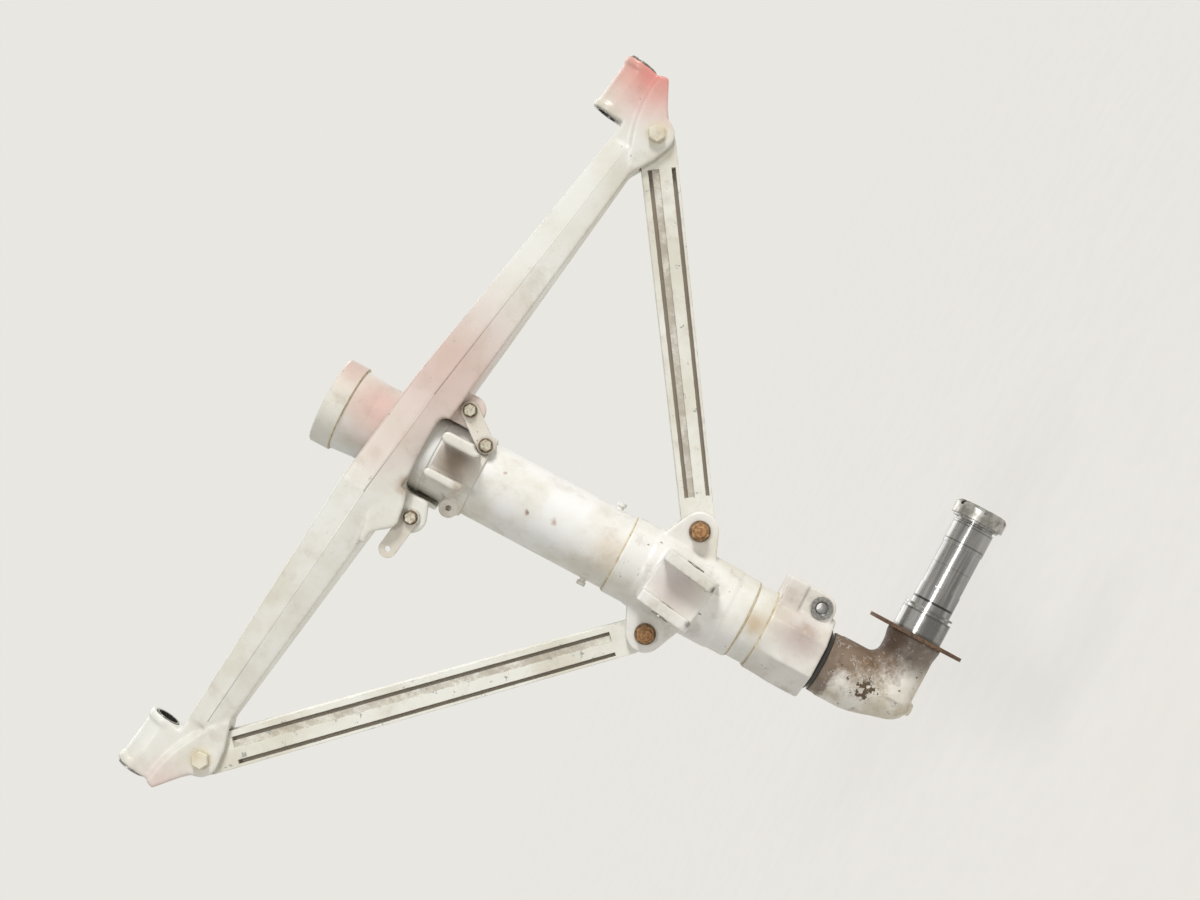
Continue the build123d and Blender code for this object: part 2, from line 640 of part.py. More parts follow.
# Cross arm: hub, two tapered arms, their forked tips and the barrel skirt
with BuildPart() as cross_arm:
    aft_end = across_arm(ARM_TIP_INSET - AFT_BOLT_ALONG)
    forward_end = across_arm(FORWARD_BOLT_ALONG - ARM_TIP_INSET)
    loft(
        [
            arm_section(aft_end, ARM_TIP_TOP, ARM_TIP_UNDERSIDE, ARM_TIP_DEPTH),
            arm_section(across_arm(-HUB_HALF), HUB_TOP, HUB_UNDERSIDE, HUB_DEPTH),
            arm_section(across_arm(HUB_HALF), HUB_TOP, HUB_UNDERSIDE, HUB_DEPTH),
            arm_section(forward_end, ARM_TIP_TOP, ARM_TIP_UNDERSIDE, ARM_TIP_DEPTH),
        ],
        ruled=True,
    )
    for side, along, tip, ear in (
        (1, FORWARD_BOLT_ALONG, forward_tip, forward_ear),
        (-1, AFT_BOLT_ALONG, aft_tip, aft_ear),
    ):
        extrude(tip_web_outline(side, along), amount=TIP_WEB_DEPTH / 2, both=True)
        extrude(cheek_outline(side, along), amount=CHEEK_OUTER_Y, both=True)
        boss_start = side * (along + BOSS_INNER_OFFSET)
        with BuildSketch(across_arm(boss_start)):
            Circle(BOSS_WAIST_R)
        extrude(amount=side * BOSS_LENGTH)
        for rim in (boss_start, boss_start + side * (BOSS_LENGTH - BOSS_RIM)):
            with BuildSketch(across_arm(rim)):
                Circle(BOSS_R)
            extrude(amount=side * BOSS_RIM)
    with BuildSketch(level(SKIRT_BOTTOM)):
        Circle(SKIRT_R)
    extrude(amount=-SKIRT_BOTTOM + HUB_UNDERSIDE / 2)
    for tab_x, tab_z in ((FORWARD_TAB_X, FORWARD_TAB_Z), (AFT_TAB_X, AFT_TAB_Z)):
        side = 1 if tab_x > 0 else -1
        with BuildSketch(barrel_front(TAB_Y + TAB_T)):
            with Locations((tab_x, tab_z)):
                Circle(TAB_R)
            with Locations((side * (SKIRT_R - TAB_R / 2), HUB_UNDERSIDE)):
                Rectangle(TAB_R * 3, TAB_R * 2)
            make_hull()
        extrude(amount=TAB_T)
    # Shoulder of the hub's front wall over the aft strap
    with BuildSketch(barrel_front(SHOULDER_WALL_Y + SHOULDER_WALL_T)):
        with BuildLine():
            Polyline(
                (WINDOW_LEFT + 1, HUB_UNDERSIDE / 2),
                (WINDOW_LEFT + 1, SHOULDER_WALL_START_Z),
                (SHOULDER_WALL_FOOT_X, SHOULDER_WALL_FOOT_Z),
                (SHOULDER_WALL_LOW_X, SHOULDER_WALL_LOW_Z),
            )
            Spline(
                (SHOULDER_WALL_LOW_X, SHOULDER_WALL_LOW_Z),
                (SHOULDER_WALL_BEND_X, SHOULDER_WALL_BEND_Z),
                (SHOULDER_WALL_RISE_X, SHOULDER_WALL_RISE_Z),
                (SHOULDER_WALL_END_X, SHOULDER_WALL_END_Z),
            )
            Polyline(
                (SHOULDER_WALL_END_X, SHOULDER_WALL_END_Z),
                (SHOULDER_WALL_END_X, SHOULDER_WALL_END_TOP),
                (WINDOW_LEFT + 1, HUB_UNDERSIDE / 2),
            )
        make_face()
    extrude(amount=SHOULDER_WALL_T)
    # Front window for the uplock lugs
    with BuildSketch(barrel_front(0)):
        with Locations(((WINDOW_LEFT + WINDOW_RIGHT) / 2, WINDOW_TOP + SKIRT_BOTTOM)):
            Rectangle(WINDOW_RIGHT - WINDOW_LEFT, -2 * SKIRT_BOTTOM)
        fillet([v for v in vertices() if v.Z > SKIRT_BOTTOM], WINDOW_CORNER_R)
    extrude(amount=HUB_DEPTH, mode=Mode.SUBTRACT)
    with BuildSketch(level(SKIRT_BOTTOM - 1)):
        Circle(NECK_R + SEAT)
    extrude(amount=-SKIRT_BOTTOM + SHOULDER_TOP, mode=Mode.SUBTRACT)
    for side, along, tip, ear in (
        (1, FORWARD_BOLT_ALONG, forward_tip, forward_ear),
        (-1, AFT_BOLT_ALONG, aft_tip, aft_ear),
    ):
        extrude(
            brace_slot(side, tip, ear, BRACE_TOP_EYE_R + BRACE_EYE_GAP),
            amount=SLOT_HALF,
            both=True,
            mode=Mode.SUBTRACT,
        )
        with BuildSketch(Plane(origin=tip, z_dir=(0, -1, 0))):
            Circle(BOLT_R + FIT)
        extrude(amount=CHEEK_OUTER_Y * 2, both=True, mode=Mode.SUBTRACT)
        with BuildSketch(across_arm(side * (along + BOSS_INNER_OFFSET - 1))):
            Circle(TRUNNION_BUSH_R + FIT)
        extrude(amount=side * (BOSS_LENGTH + 2), mode=Mode.SUBTRACT)
    for tab_x, tab_z in ((FORWARD_TAB_X, FORWARD_TAB_Z), (AFT_TAB_X, AFT_TAB_Z)):
        with BuildSketch(barrel_front(TAB_Y + TAB_T + 1)):
            with Locations((tab_x, tab_z)):
                Circle(SCREW_R + FIT)
        extrude(amount=TAB_T + 2, mode=Mode.SUBTRACT)
finish(cross_arm.part, "cross_arm")

# Trunnion bushings, pressed in the bosses with a flange on each far end
bushes = []
for side, along in ((1, FORWARD_BOLT_ALONG), (-1, AFT_BOLT_ALONG)):
    with BuildPart() as trunnion_bushing:
        with BuildSketch(across_arm(side * (along + BOSS_INNER_OFFSET))):
            Circle(TRUNNION_BUSH_R)
        extrude(amount=side * BOSS_LENGTH)
        with BuildSketch(across_arm(side * (along + BOSS_INNER_OFFSET + BOSS_LENGTH))):
            Circle(TRUNNION_BUSH_FLANGE_R)
        extrude(amount=side * TRUNNION_BUSH_FLANGE_T)
        with BuildSketch(across_arm(side * (along + BOSS_INNER_OFFSET - 1))):
            Circle(TRUNNION_BORE_R)
        extrude(amount=side * (BOSS_LENGTH + TRUNNION_BUSH_FLANGE_T + 2), mode=Mode.SUBTRACT)
    bushes.append(trunnion_bushing.part)
finish(group(bushes), "trunnion_bushings")


def brace(tip, ear, outer_side):
    """Fluted brace from the arm's tip to the collar's ear, eyes at both ends."""
    run = (ear - tip).normalized()
    length = (ear - tip).length
    along = Plane(origin=tip, x_dir=run, z_dir=(0, -1, 0))
    face = Plane(origin=tip - Vector(0, BRACE_T / 2, 0), x_dir=run, z_dir=(0, -1, 0))

    def half_width(u):
        return (BRACE_TOP_W + (BRACE_BOTTOM_W - BRACE_TOP_W) * u / length) / 2

    def strip(start, end, inner, outer):
        """Outline of a strip between two shares of the half width."""
        return [
            (u, outer_side * share * half_width(u))
            for u, share in ((start, inner), (start, outer), (end, outer), (end, inner))
        ]

    first = BRACE_FLUTE_START
    last = length - BRACE_FLUTE_START
    with BuildPart() as body:
        with BuildSketch(along):
            Circle(BRACE_TOP_EYE_R)
            with Locations((length, 0)):
                Circle(BRACE_BOTTOM_EYE_R)
            Polygon(*strip(BRACE_TOP_EYE_R / 2, length - BRACE_BOTTOM_EYE_R, -1, 1), align=None)
            make_hull()
            Circle(BRACE_BUSH_R + FIT, mode=Mode.SUBTRACT)
            with Locations((length, 0)):
                Circle(BRACE_BUSH_R + FIT, mode=Mode.SUBTRACT)
        extrude(amount=BRACE_T / 2, both=True)
        for inner, outer, depth in (
            (OUTER_FLUTE_TO, OUTER_FLUTE_FROM, BRACE_FLUTE_DEPTH),
            (INNER_FLUTE_TO, INNER_FLUTE_FROM, BRACE_FLUTE_DEPTH),
            (INNER_FLUTE_FROM, STEP_FROM, BRACE_STEP_DEPTH),
        ):
            with BuildSketch(face):
                Polygon(*strip(first, last, inner, outer), align=None)
            cut = extrude(amount=-depth, mode=Mode.SUBTRACT)
            mirror(cut, about=Plane.XZ, mode=Mode.SUBTRACT)
    return body.part


finish(brace(forward_tip, forward_ear, 1), "forward_brace")
finish(brace(aft_tip, aft_ear, -1), "aft_brace")

finish(
    group(
        ring(
            place + Vector(0, BRACE_T / 2, 0), (0, -1, 0), BOLT_R + FIT, BRACE_BUSH_R, BRACE_T
        )
        for place in (forward_tip, forward_ear, aft_tip, aft_ear)
    ),
    "brace_bushings",
)

# Brace collar: bands, four ears and the side brace clevis
clevis_centre = Vector(SIDE_CLEVIS_CENTRE_X, 0, SIDE_CLEVIS_Z)
clevis_along = clevis_centre.dot(TRUNNION_DIR)
clevis_up = clevis_centre.dot(TRUNNION_UP)
with BuildPart() as brace_collar:
    with BuildSketch(Plane.XZ):
        with BuildLine():
            Polyline(
                (0, COLLAR_TOP),
                (COLLAR_R, COLLAR_TOP),
                (COLLAR_R, COLLAR_BODY_TOP),
                (COLLAR_BODY_R, COLLAR_BODY_TOP - (COLLAR_BODY_R - COLLAR_R)),
                (COLLAR_BODY_R, COLLAR_BODY_BOTTOM + (COLLAR_BODY_R - COLLAR_R)),
                (COLLAR_R, COLLAR_BODY_BOTTOM),
                (COLLAR_R, COLLAR_BAND_BOTTOM),
                (0, COLLAR_BAND_BOTTOM),
                close=True,
            )
        make_face()
    revolve(axis=Axis.Z)
    for side in (1, -1):
        with BuildSketch(barrel_front(-SLOT_HALF)):
            with Locations((side * EAR_BOLT_X, EAR_BOLT_Z)):
                Circle(EAR_R)
            Polygon(
                (side * EAR_ROOT_X, EAR_ROOT_TOP),
                (0, EAR_ROOT_TOP),
                (0, EAR_ROOT_BOTTOM),
                (side * EAR_ROOT_X, EAR_ROOT_BOTTOM),
                align=None,
            )
            make_hull()
        front_ear = extrude(amount=EAR_T)
        mirror(front_ear, about=Plane.XZ)
    # Pad and cheeks of the side brace clevis
    with BuildSketch(Plane(origin=clevis_centre, x_dir=(0, 1, 0), z_dir=TRUNNION_DIR)):
        with Locations((SIDE_CHEEK_FRONT_Y / 2, 0)):
            cheek = Rectangle(-SIDE_CHEEK_FRONT_Y, SIDE_CHEEK_LENGTH)
        fillet(cheek.vertices().sort_by(Axis.Y)[:2], SIDE_CHEEK_CORNER_R)
    extrude(amount=SIDE_CLEVIS_GAP / 2 + SIDE_CHEEK_T, both=True)
    with BuildSketch(arm_front(SIDE_PAD_Y)):
        with Locations((clevis_along, clevis_up)):
            Rectangle(SIDE_CLEVIS_GAP, SIDE_CHEEK_LENGTH + SIDE_CHEEK_T)
    extrude(amount=-SIDE_CHEEK_FRONT_Y, mode=Mode.SUBTRACT)
    with BuildSketch(Plane(origin=clevis_centre + Vector(0, SIDE_BORE_Y, 0), z_dir=TRUNNION_DIR)):
        Circle(CLEVIS_BUSH_R + FIT)
    extrude(amount=SIDE_CLEVIS_GAP + SIDE_CHEEK_T, both=True, mode=Mode.SUBTRACT)
    for ear in (forward_ear, aft_ear):
        with BuildSketch(Plane(origin=ear, z_dir=(0, -1, 0))):
            Circle(BOLT_R + FIT)
        extrude(amount=SLOT_HALF + EAR_T + 1, both=True, mode=Mode.SUBTRACT)
    with BuildSketch(level(COLLAR_BAND_BOTTOM - 1)):
        Circle(BARREL_R + FIT)
    extrude(amount=COLLAR_TOP - COLLAR_BAND_BOTTOM + 2, mode=Mode.SUBTRACT)
finish(brace_collar.part, "brace_collar")

clevis_bushes = []
for side in (1, -1):
    inner_face = clevis_centre + Vector(0, SIDE_BORE_Y, 0) + TRUNNION_DIR * side * SIDE_CLEVIS_GAP / 2
    outer_face = inner_face + TRUNNION_DIR * side * SIDE_CHEEK_T
    with BuildPart() as clevis_bush:
        with BuildSketch(Plane(origin=inner_face, z_dir=TRUNNION_DIR * side)):
            Circle(CLEVIS_BUSH_R)
        extrude(amount=SIDE_CHEEK_T)
        with BuildSketch(Plane(origin=outer_face, z_dir=TRUNNION_DIR * side)):
            Circle(CLEVIS_BUSH_FLANGE_R)
        extrude(amount=CLEVIS_BUSH_FLANGE_T)
        with BuildSketch(Plane(origin=inner_face, z_dir=TRUNNION_DIR * side)):
            Circle(CLEVIS_BORE_R)
        extrude(amount=SIDE_CHEEK_T + CLEVIS_BUSH_FLANGE_T, mode=Mode.SUBTRACT)
    clevis_bushes.append(clevis_bush.part)
finish(group(clevis_bushes), "side_clevis_bushings")

# Uplock saddle: a band round the barrel with two lugs and two strap posts
with BuildPart() as uplock_saddle:
    with BuildSketch(level(SADDLE_BOTTOM)):
        Circle(SADDLE_R)
    extrude(amount=BAND_TOP - SADDLE_BOTTOM)
    with BuildSketch(level(BAND_TOP)):
        Circle(SADDLE_R)
        with Locations((0, -SADDLE_R)):
            Rectangle(2 * SADDLE_HALF_W, 2 * (SADDLE_R - PISTON_R), mode=Mode.INTERSECT)
    extrude(amount=SADDLE_TOP - BAND_TOP)
    for lug_x, lug_t in ((FORWARD_LUG_X, FORWARD_LUG_T), (AFT_LUG_X, AFT_LUG_T)):
        with BuildSketch(barrel_front(-PISTON_R)):
            with Locations((lug_x, (LUG_TOP + LUG_BOTTOM) / 2)):
                SlotOverall(LUG_TOP - LUG_BOTTOM, lug_t, rotation=90)
        extrude(amount=-LUG_FRONT_Y - PISTON_R)
        chamfer(uplock_saddle.faces().sort_by(Axis.Y)[0].edges(), length=LUG_EDGE)
    for post_x, post_z in ((FORWARD_POST_X, FORWARD_POST_Z), (AFT_POST_X, AFT_POST_Z)):
        with BuildSketch(barrel_front(0)):
            with Locations((post_x, post_z)):
                Circle(POST_R)
        extrude(amount=-TAB_Y)
        with BuildSketch(barrel_front(TAB_Y)):
            with Locations((post_x, post_z)):
                Circle(POST_R + SEAT)
        extrude(amount=SADDLE_R, mode=Mode.SUBTRACT)
    with BuildSketch(level(SADDLE_BOTTOM - POST_R)):
        Circle(BARREL_R + FIT)
    extrude(amount=SADDLE_TOP - SADDLE_BOTTOM + POST_R, mode=Mode.SUBTRACT)
    with BuildSketch(level(SADDLE_TOP)):
        Circle(NECK_R + FIT)
    extrude(amount=FORWARD_LUG_T, mode=Mode.SUBTRACT)
    for post_x, post_z in ((FORWARD_POST_X, FORWARD_POST_Z), (AFT_POST_X, AFT_POST_Z)):
        with BuildSketch(barrel_front(TAB_Y)):
            with Locations((post_x, post_z)):
                Circle(SCREW_R + FIT)
        extrude(amount=-POST_HOLE_DEPTH, mode=Mode.SUBTRACT)
    with BuildSketch(Plane(origin=(0, LUG_BORE_Y, (LUG_TOP + LUG_BOTTOM) / 2), z_dir=(1, 0, 0))):
        Circle(CLEVIS_BORE_R)
    extrude(amount=FORWARD_LUG_X + FORWARD_LUG_T, both=True, mode=Mode.SUBTRACT)
finish(uplock_saddle.part, "uplock_saddle")


def strap(pivot, end, pivot_r, play):
    """Flat strap with round ends, lying on the tabs with some play at its faces."""
    with BuildPart() as body:
        with BuildSketch(barrel_front(TAB_Y - play)):
            with Locations(pivot, end):
                Circle(STRAP_W / 2)
            make_hull()
            with Locations(pivot):
                Circle(pivot_r, mode=Mode.SUBTRACT)
            with Locations(end):
                Circle(SCREW_R + FIT, mode=Mode.SUBTRACT)
        extrude(amount=STRAP_T - 2 * play)
    return body.part


forward_tab = (FORWARD_TAB_X, FORWARD_TAB_Z)
aft_tab = (AFT_TAB_X, AFT_TAB_Z)
forward_post = (FORWARD_POST_X, FORWARD_POST_Z)
finish(strap(forward_tab, forward_post, SCREW_R + FIT, 0), "forward_strap")
finish(strap(aft_tab, (AFT_STRAP_END_X, AFT_STRAP_END_Z), SCREW_R + RUN, RUN), "aft_strap")

# Strap screws, washers and nuts
strap_front = TAB_Y - STRAP_T
tab_back = TAB_Y + TAB_T
screw_places = (forward_tab, aft_tab, forward_post)
finish(
    group(
        ring(
            (x, strap_front, z), (0, -1, 0), SCREW_R + FIT, SCREW_WASHER_R, SCREW_WASHER_T
        )
        for x, z in screw_places
    ),
    "strap_washers",
)
screws = []
for (x, z), reach in zip(screw_places, (TAB_T + NUT_T / 2 + 1, TAB_T + NUT_T / 2 + 1, POST_HOLE_DEPTH - 1)):
    screws.append(
        bolt(
            (x, strap_front - SCREW_WASHER_T, z),
            (0, 1, 0),
            SCREW_R,
            SCREW_WASHER_T + STRAP_T + reach,
            SCREW_HEAD_R,
            SCREW_HEAD_T,
        )
    )
finish(group(screws), "strap_screws")
finish(
    group(
        hex_nut((x, tab_back, z), (0, 1, 0), SCREW_R + FIT, SCREW_HEAD_R, NUT_T / 2)
        for x, z in (forward_tab, aft_tab)
    ),
    "strap_nuts",
)

# Brace bolts: heads to the front at the tips, to the back at the ears
ear_face = SLOT_HALF + EAR_T
tip_length = 2 * CHEEK_OUTER_Y + WASHER_T + NUT_T + BOLT_STICKOUT / 2
ear_length = 2 * ear_face + WASHER_T + NUT_T + BOLT_STICKOUT
finish(
    group(
        bolt(
            tip - Vector(0, CHEEK_OUTER_Y, 0), (0, 1, 0), BOLT_R, tip_length, BOLT_HEAD_R, BOLT_HEAD_T
        )
        for tip in (forward_tip, aft_tip)
    ),
    "tip_bolts",
)
finish(
    group(
        bolt(ear + Vector(0, ear_face, 0), (0, -1, 0), BOLT_R, ear_length, BOLT_HEAD_R, BOLT_HEAD_T)
        for ear in (forward_ear, aft_ear)
    ),
    "ear_bolts",
)
washer_seats = [(tip + Vector(0, CHEEK_OUTER_Y, 0), (0, 1, 0)) for tip in (forward_tip, aft_tip)]
washer_seats += [(ear - Vector(0, ear_face, 0), (0, -1, 0)) for ear in (forward_ear, aft_ear)]
finish(
    group(ring(seat, way, BOLT_R + FIT, WASHER_R, WASHER_T) for seat, way in washer_seats),
    "brace_washers",
)
finish(
    group(
        hex_nut(tip + Vector(0, CHEEK_OUTER_Y + WASHER_T, 0), (0, 1, 0), BOLT_R + FIT, BOLT_HEAD_R, NUT_T)
        for tip in (forward_tip, aft_tip)
    ),
    "tip_nuts",
)
finish(
    group(
        hex_nut(ear - Vector(0, ear_face + WASHER_T, 0), (0, -1, 0), BOLT_R + FIT, BOLT_HEAD_R, NUT_T)
        for ear in (forward_ear, aft_ear)
    ),
    "ear_nuts",
)

# Side plugs, one on each side of the barrel
plugs = []
for side in (1, -1):
    with BuildPart() as side_plug:
        with BuildSketch(facing_x(side * (BARREL_BORE_R + RUN), PLUG_Z)):
            Circle(PLUG_STEM_R)
        extrude(amount=side * (BARREL_R + PLUG_STICKOUT - BARREL_BORE_R))
        with BuildSketch(facing_x(side * (BARREL_R + PLUG_STICKOUT - PLUG_HEAD_T), PLUG_Z)):
            Circle(PLUG_HEAD_R)
        extrude(amount=side * PLUG_HEAD_T)
    plugs.append(side_plug.part)
finish(group(plugs), "side_plugs")

# Knee collar: eight flats, a lug for the torque knee and a lip under the tube
with BuildPart() as knee_collar:
    with BuildSketch(level(KNEE_BOTTOM)):
        RegularPolygon(KNEE_FLATS / 2, 8, major_radius=False, rotation=22.5)
    extrude(amount=KNEE_BLEND - KNEE_BOTTOM)
    chamfer(knee_collar.faces().sort_by(Axis.Z)[0].edges(), length=CAP_EDGE)
    with BuildSketch(level(KNEE_BLEND)):
        RegularPolygon(KNEE_FLATS / 2, 8, major_radius=False, rotation=22.5)
    with BuildSketch(level(KNEE_TOP)):
        Circle(COLLAR_R)
    loft()
    with BuildSketch(barrel_front(0)):
        with Locations((KNEE_LUG_X, KNEE_LUG_Z)):
            Circle(KNEE_LUG_R)
        Polygon(
            (0, KNEE_LUG_TOP),
            (KNEE_LUG_X + KNEE_LUG_R, KNEE_LUG_TOP),
            (KNEE_LUG_X - KNEE_LUG_R, KNEE_LUG_Z - KNEE_LUG_R),
            (0, KNEE_LUG_Z - KNEE_LUG_R),
            align=None,
        )
        make_hull()
    extrude(amount=KNEE_LUG_W / 2, both=True)
    with BuildSketch(barrel_front(0)):
        Polygon(
            (0, KNEE_LUG_TOP),
            (KNEE_LUG_X + KNEE_LUG_R, KNEE_LUG_TOP),
            (KNEE_LUG_X + KNEE_LUG_R, KNEE_STEP_Z),
            (0, KNEE_STEP_Z),
            align=None,
        )
    extrude(amount=KNEE_STEP_W / 2, both=True)
    with BuildSketch(level(BARREL_BOTTOM - SEAT)):
        Circle(BARREL_R + FIT)
    extrude(amount=KNEE_TOP - BARREL_BOTTOM + KNEE_BORE_CHAMFER, mode=Mode.SUBTRACT)
    with BuildSketch(level(KNEE_BOTTOM - 1)):
        Circle(BARREL_BORE_R + 1)
    extrude(amount=BARREL_BOTTOM - KNEE_BOTTOM + 1, mode=Mode.SUBTRACT)
    with BuildSketch(barrel_front(0)):
        with Locations((KNEE_LUG_X, KNEE_LUG_Z)):
            Circle(KNEE_BUSH_R + FIT)
    extrude(amount=KNEE_STEP_W, both=True, mode=Mode.SUBTRACT)
    # Room for the bushings' flanges beside a larger barrel
    for way in (1, -1):
        flange_seat = Vector(KNEE_LUG_X, way * KNEE_LUG_W / 2, KNEE_LUG_Z)
        with BuildSketch(Plane(origin=flange_seat, z_dir=(0, way, 0))):
            Circle(KNEE_BUSH_FLANGE_R + SEAT)
        extrude(amount=KNEE_STEP_W, mode=Mode.SUBTRACT)
finish(knee_collar.part, "knee_collar")

knee_bushes = []
for way in (1, -1):
    with BuildPart() as knee_bush:
        with BuildSketch(Plane(origin=(KNEE_LUG_X, way * FIT, KNEE_LUG_Z), z_dir=(0, way, 0))):
            Circle(KNEE_BUSH_R)
        extrude(amount=KNEE_LUG_W / 2)
        with BuildSketch(
            Plane(origin=(KNEE_LUG_X, way * KNEE_LUG_W / 2, KNEE_LUG_Z), z_dir=(0, way, 0))
        ):
            Circle(KNEE_BUSH_FLANGE_R)
        extrude(amount=KNEE_BUSH_FLANGE_T)
        with BuildSketch(Plane(origin=(KNEE_LUG_X, 0, KNEE_LUG_Z), z_dir=(0, way, 0))):
            Circle(KNEE_BORE_R)
        extrude(amount=KNEE_STEP_W, mode=Mode.SUBTRACT)
        mouth = (
            knee_bush.edges()
            .filter_by(GeomType.CIRCLE)
            .filter_by(lambda e: e.radius < KNEE_BORE_R + FIT)
            .sort_by(Axis((0, 0, 0), (0, way, 0)))[-1]
        )
        chamfer(mouth, length=KNEE_BORE_CHAMFER)
    knee_bushes.append(knee_bush.part)
finish(group(knee_bushes), "knee_bushings")

# Lower bearing with one groove inside and one outside, and its seals
groove_half = SEAL_W / 2 + FIT
bearing_in = PISTON_R + RUN
bearing_out = BARREL_BORE_R - FIT
groove_in = bearing_in + (bearing_out - bearing_in) * 0.6
groove_out = bearing_out - (bearing_out - bearing_in) * 0.6
finish(
    turned(
        [
            (bearing_in, LOWER_BEARING_BOTTOM),
            (bearing_out, LOWER_BEARING_BOTTOM),
            (bearing_out, STATIC_SEAL_Z - groove_half),
            (groove_out, STATIC_SEAL_Z - groove_half),
            (groove_out, STATIC_SEAL_Z + groove_half),
            (bearing_out, STATIC_SEAL_Z + groove_half),
            (bearing_out, LOWER_BEARING_TOP),
            (bearing_in, LOWER_BEARING_TOP),
            (bearing_in, SEAL_Z + groove_half),
            (groove_in, SEAL_Z + groove_half),
            (groove_in, SEAL_Z - groove_half),
            (bearing_in, SEAL_Z - groove_half),
        ]
    ),
    "lower_bearing",
)
finish(
    ring((0, 0, SEAL_Z - SEAL_W / 2), (0, 0, 1), bearing_in, groove_in - RUN, SEAL_W),
    "piston_seal",
)
finish(
    ring((0, 0, STATIC_SEAL_Z - SEAL_W / 2), (0, 0, 1), groove_out + RUN, bearing_out, SEAL_W),
    "static_seal",
)
finish(
    ring(
        (0, 0, LOWER_BEARING_BOTTOM - SEAT - RETAINING_RING_T),
        (0, 0, 1),
        PISTON_R + SEAT * 3,
        bearing_out,
        RETAINING_RING_T,
    ),
    "retaining_ring",
)
finish(
    turned(
        [
            (PISTON_R + RUN, KNEE_BOTTOM - SCRAPER_LIP),
            (SCRAPER_LIP_R - 1, KNEE_BOTTOM - SCRAPER_LIP),
            (SCRAPER_LIP_R, KNEE_BOTTOM - SCRAPER_LIP + 1),
            (SCRAPER_LIP_R, KNEE_BOTTOM),
            (BARREL_BORE_R + 1 - FIT, KNEE_BOTTOM),
            (BARREL_BORE_R + 1 - FIT, BARREL_BOTTOM - SEAT),
            (PISTON_R + RUN, BARREL_BOTTOM - SEAT),
        ]
    ),
    "scraper_ring",
)

# Piston tube, its head ring and the upper bearing that it carries
head_seat = PISTON_TOP - HEAD_RING_T
finish(
    turned(
        [
            (PISTON_BORE_R, PISTON_TOP),
            (HEAD_RING_SEAT_R, PISTON_TOP),
            (HEAD_RING_SEAT_R, head_seat),
            (PISTON_NECK_R, head_seat),
            (PISTON_NECK_R, PISTON_NECK_BOTTOM),
            (PISTON_R, PISTON_NECK_BOTTOM),
            (PISTON_R, ELBOW_TOP + FIT),
            (PISTON_SPIGOT_R, ELBOW_TOP + FIT),
            (PISTON_SPIGOT_R, PISTON_BOTTOM),
            (PISTON_BORE_R, PISTON_BOTTOM),
        ]
    ),
    "piston_tube",
)
finish(
    ring((0, 0, head_seat), (0, 0, 1), HEAD_RING_SEAT_R + FIT, HEAD_RING_R, HEAD_RING_T),
    "piston_head_ring",
)
upper_bearing_bottom = PISTON_NECK_BOTTOM + UPPER_BEARING_GAP
finish(
    ring(
        (0, 0, upper_bearing_bottom),
        (0, 0, 1),
        PISTON_NECK_R + RUN,
        BARREL_BORE_R - RUN,
        head_seat - UPPER_BEARING_GAP - upper_bearing_bottom,
    ),
    "upper_bearing",
)
finish(
    turned(
        [
            (METERING_PIN_R + FIT, PISTON_BOTTOM),
            (PISTON_BORE_R - FIT, PISTON_BOTTOM),
            (PISTON_BORE_R - FIT, PISTON_PLUG_TOP),
            (METERING_PIN_R + FIT, PISTON_PLUG_TOP),
        ]
    ),
    "piston_plug",
)
finish(
    turned(
        [
            (0, PISTON_BOTTOM),
            (METERING_PIN_R, PISTON_BOTTOM),
            (METERING_PIN_R, PISTON_PLUG_TOP + METERING_PIN_R),
            (METERING_PIN_TIP_R, METERING_PIN_TOP),
            (0, METERING_PIN_TOP),
        ]
    ),
    "metering_pin",
)

# Axle elbow: a tapered knuckle, a flared stub and the heel under them
axle_axis = Axis((0, 0, AXLE_Z), (1, 0, 0))
with BuildPart() as axle_elbow:
    with BuildSketch(Plane.XZ):
        with BuildLine():
            Polyline(
                (0, ELBOW_TOP),
                (ELBOW_RIM_R, ELBOW_TOP),
                (ELBOW_RIM_R, ELBOW_TOP - ELBOW_RIM_H),
                (ELBOW_R, ELBOW_TOP - ELBOW_RIM_H),
                (ELBOW_R, ELBOW_KNEE),
            )
            Spline(
                (ELBOW_R, ELBOW_KNEE),
                (ELBOW_HIP_R, AXLE_Z),
                (0, ELBOW_BOTTOM),
                tangents=[(0, -1), (-1, 0)],
            )
            Line((0, ELBOW_BOTTOM), (0, ELBOW_TOP))
        make_face()
    revolve(axis=Axis.Z)
    with BuildSketch(Plane.XZ):
        with BuildLine():
            Polyline(
                (0, AXLE_Z),
                (0, AXLE_Z + ELBOW_STUB_R),
                (ELBOW_FACE_X - ELBOW_FLARE, AXLE_Z + ELBOW_STUB_R),
                (ELBOW_FACE_X - FLANGE_T, AXLE_Z + ELBOW_FACE_R),
                (ELBOW_FACE_X, AXLE_Z + ELBOW_FACE_R),
                (ELBOW_FACE_X, AXLE_Z),
                close=True,
            )
        make_face()
    revolve(axis=axle_axis)
    throat = axle_elbow.edges().filter_by(
        lambda e: e.length > ELBOW_STUB_R * 1.5 and HEEL_R < e.center().X < ELBOW_R
    )
    fillet(throat, ELBOW_THROAT_R)
    with BuildSketch(level(ELBOW_BOTTOM - HEEL_DROP)):
        with Locations((HEEL_X, 0)):
            Circle(HEEL_R)
    extrude(amount=HEEL_R * 2)
    with BuildSketch(level(PISTON_BOTTOM - SEAT)):
        Circle(PISTON_SPIGOT_R + FIT)
    extrude(amount=ELBOW_TOP - PISTON_BOTTOM + 1, mode=Mode.SUBTRACT)
    with BuildSketch(facing_x(AXLE_SPIGOT_START - SEAT, AXLE_Z)):
        Circle(AXLE_SPIGOT_R + FIT)
    extrude(amount=ELBOW_FACE_X, mode=Mode.SUBTRACT)
finish(axle_elbow.part, "axle_elbow")

